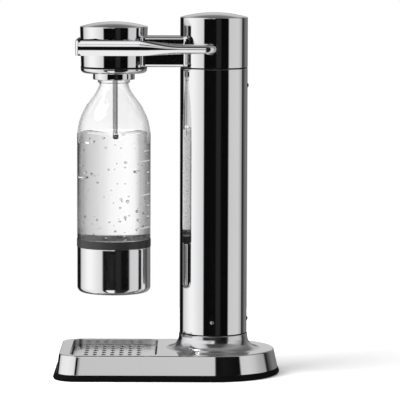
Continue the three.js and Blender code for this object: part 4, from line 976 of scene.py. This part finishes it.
# Water and its gas bubbles: the bottle is filled to the shoulder, and the bubbles cling
# to its wall or rise in the middle.
water_top, creep = 0.27575, 0.00015
bore = foot_radius - bottle_wall
water_profile = np.concatenate([
    [[0.0, foot_height + bottle_wall - creep]], foot_arc(foot_round - bottle_wall + creep),
    [[bore + creep, water_top - 0.0006]], [[bore + creep, water_top + 0.0004]],
    [[bore - 0.0008, water_top]], [[0.0, water_top]],
])
water_mesh = as_mesh("water", [turned(water_profile, head_x, 192)])
water_look = clear_look("clear_water", (0.985, 0.985, 0.985), 1.33, 0.0)
piece(water_mesh, water_look, "bottle_group", "clear_plastic")

bubble_count, wall_share = 170, 0.62
least_bubble, bubble_span, bubble_power = 0.0005, 0.0014, 1.8
chance = np.random.default_rng(7)
bubble_turn = chance.uniform(0.0, 2 * np.pi, bubble_count)
at_wall = chance.uniform(size=bubble_count) < wall_share
bubble_size = least_bubble + bubble_span * chance.uniform(size=bubble_count) ** bubble_power
most_reach = bore - 1.1 * bubble_size - 0.0003
inner_reach = most_reach * np.sqrt(chance.uniform(0.02, 0.9, bubble_count))
bubble_reach = np.where(at_wall, most_reach, inner_reach)
bubble_height = chance.uniform(0.100, water_top - 0.003, bubble_count)
ball_grid = (7, 10)
unit_turn = np.linspace(0, 2 * np.pi, ball_grid[1], endpoint=False)
unit_rise = np.linspace(-np.pi / 2, np.pi / 2, ball_grid[0])[:, None]
unit_ball = np.stack([
    np.cos(unit_rise) * np.cos(unit_turn), np.cos(unit_rise) * np.sin(unit_turn),
    np.broadcast_to(np.sin(unit_rise), ball_grid),
], axis=-1).reshape(-1, 3)
bubble_centre = np.stack([
    head_x + bubble_reach * np.cos(bubble_turn), bubble_reach * np.sin(bubble_turn), bubble_height,
], axis=1)
bubble_points = bubble_centre[:, None] + unit_ball[None] * bubble_size[:, None, None]
bubble_start = np.arange(bubble_count)[:, None, None] * len(unit_ball)
bubble_faces = (skin_faces(*ball_grid)[None] + bubble_start).reshape(-1, 4)
bubble_mesh = as_mesh("bubbles", [(bubble_points, bubble_faces)], sharp=90.0)
bubble_look = clear_look("gas_bubbles", (0.72, 0.72, 0.72), 0.77, 0.0)
piece(bubble_mesh, bubble_look, "bottle_group", "clear_plastic")

# Level lines: white lines printed on the outside of the bottle, long and short ones at even
# heights towards the column, and one small mark across from them.
line_look = finish("white_print", (0.95, 0.95, 0.95), 0.5, grain=900.0, spread=0.1, bump=0.1)


def line_points(bearing, width, height, tall=0.0016, count=12):
    """Thin curved strip on the bottle: an arc of the outside, a hair proud of it."""
    radius = bottle_radius + 0.00012
    turns = np.radians(bearing) + np.linspace(-0.5, 0.5, count) * width / radius
    levels = height + np.array([-0.5, 0.5])[:, None] * tall
    points = np.stack([
        head_x + radius * np.cos(turns) + 0 * levels, radius * np.sin(turns) + 0 * levels,
        np.broadcast_to(levels, (2, count)),
    ], axis=-1)
    return points, skin_faces(2, count, wrap=False)


# Each line's bearing, its width, and the heights it is printed at.
line_kinds = [
    (-25.7, 0.0106, (0.2560,)), (-29.0, 0.0238, (0.2446, 0.2063, 0.1685)),
    (-20.0, 0.0080, (0.2315, 0.2189, 0.1937, 0.1811)), (-134.5, 0.0048, (0.2658,)),
]
line_mesh = as_mesh("level_lines", [
    line_points(bearing, width, height)
    for bearing, width, heights in line_kinds for height in heights
])
piece(line_mesh, line_look, "bottle_group", "clear_plastic")

# Return springs: open coils of round steel wire, one under the plunger's head and one over
# the relief valve's poppet. They lie loose in their seats and, though they shorten as those parts
# move, each is drawn here at one length.
spring_steel = finish(
    "spring_steel", (0.56, 0.57, 0.58), 0.25, metallic=1.0, grain=900.0, spread=0.06, bump=0.08
)
wire_radius, spring_turns, points_a_turn, wire_points = 0.0005, 3, 40, 12
# Each spring's axis, radius, low and high end, joint, fixed end and length left at full travel.
spring_sizes = [
    ("plunger_spring", column_x, 0.0046, 0.35215, 0.36015, "plunger_slide", 0.3521, 0.765),
    ("relief_spring", head_x, 0.0027, 0.38345, 0.39050, "relief_lift", 0.3907, 0.80),
]


def coil(radius, low, high, axis_x):
    """Helix of round wire: at angle a its centre is (x + r cos a, r sin a), rising evenly."""
    angle = np.linspace(0.0, 2.0 * np.pi * spring_turns, points_a_turn * spring_turns + 1)[:, None]
    wire_turn = np.linspace(0.0, 2.0 * np.pi, wire_points, endpoint=False)
    out = radius + wire_radius * np.cos(wire_turn)
    rise = low + wire_radius + (high - low - 2 * wire_radius) * angle / angle[-1]
    points = np.stack([
        axis_x + out * np.cos(angle), out * np.sin(angle), rise + wire_radius * np.sin(wire_turn),
    ], axis=-1)
    return capped(points)


for name, axis_x, radius, low, high, joint, seat, kept_share in spring_sizes:
    spring_grid = coil(radius, low, high, axis_x)
    spring_mesh = as_mesh(name + "_wire", [(spring_grid, skin_faces(*spring_grid.shape[:2]))])
    spring = piece(spring_mesh, spring_steel, "machine", "satin_steel", name)
    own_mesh(spring)

# Inner and hidden parts keep their own solids and get their finishes here: cast and
# turned aluminium, brass, satin steel, and grey and black mouldings.
looks_by_slot = {
    "satin_steel": finish(
        "satin_steel", (0.56, 0.57, 0.58), 0.32, metallic=1.0, grain=600.0, spread=0.08, bump=0.1
    ),
    "cast_aluminium": finish(
        "cast_aluminium", (0.60, 0.61, 0.63), 0.42, metallic=0.9, grain=350.0, spread=0.1, bump=0.25
    ),
    "brass": finish(
        "turned_brass", (0.62, 0.44, 0.19), 0.28, metallic=1.0, grain=500.0, spread=0.08, bump=0.1
    ),
    "black_plastic": finish(
        "black_moulding", (0.02, 0.02, 0.022), 0.45, grain=1200.0, spread=0.1, bump=0.3
    ),
    "grey_plastic": finish(
        "grey_moulding", (0.26, 0.28, 0.30), 0.45, grain=1200.0, spread=0.1, bump=0.3
    ),
    "black_rubber": rubber, "polished_steel": steel, "clear_plastic": bottle_look,
}
seam_black = finish("seam_black", (0.004, 0.004, 0.004), 0.6, grain=1500.0, spread=0.1, bump=0.3)
seam_shader = seam_black.node_tree.nodes["Principled BSDF"]
seam_shader.inputs["Specular IOR Level"].default_value = 0.15
seams = ("column_seal", "head_seam", "head_adapter")
slots_by_node = {row["node"]: row["material_slot"] for row in frame["record"]["subparts"]}
for name, node in frame["nodes"].items():
    look = seam_black if name in seams else looks_by_slot[slots_by_node[name]]
    for slot in node.material_slots:
        slot.material = look
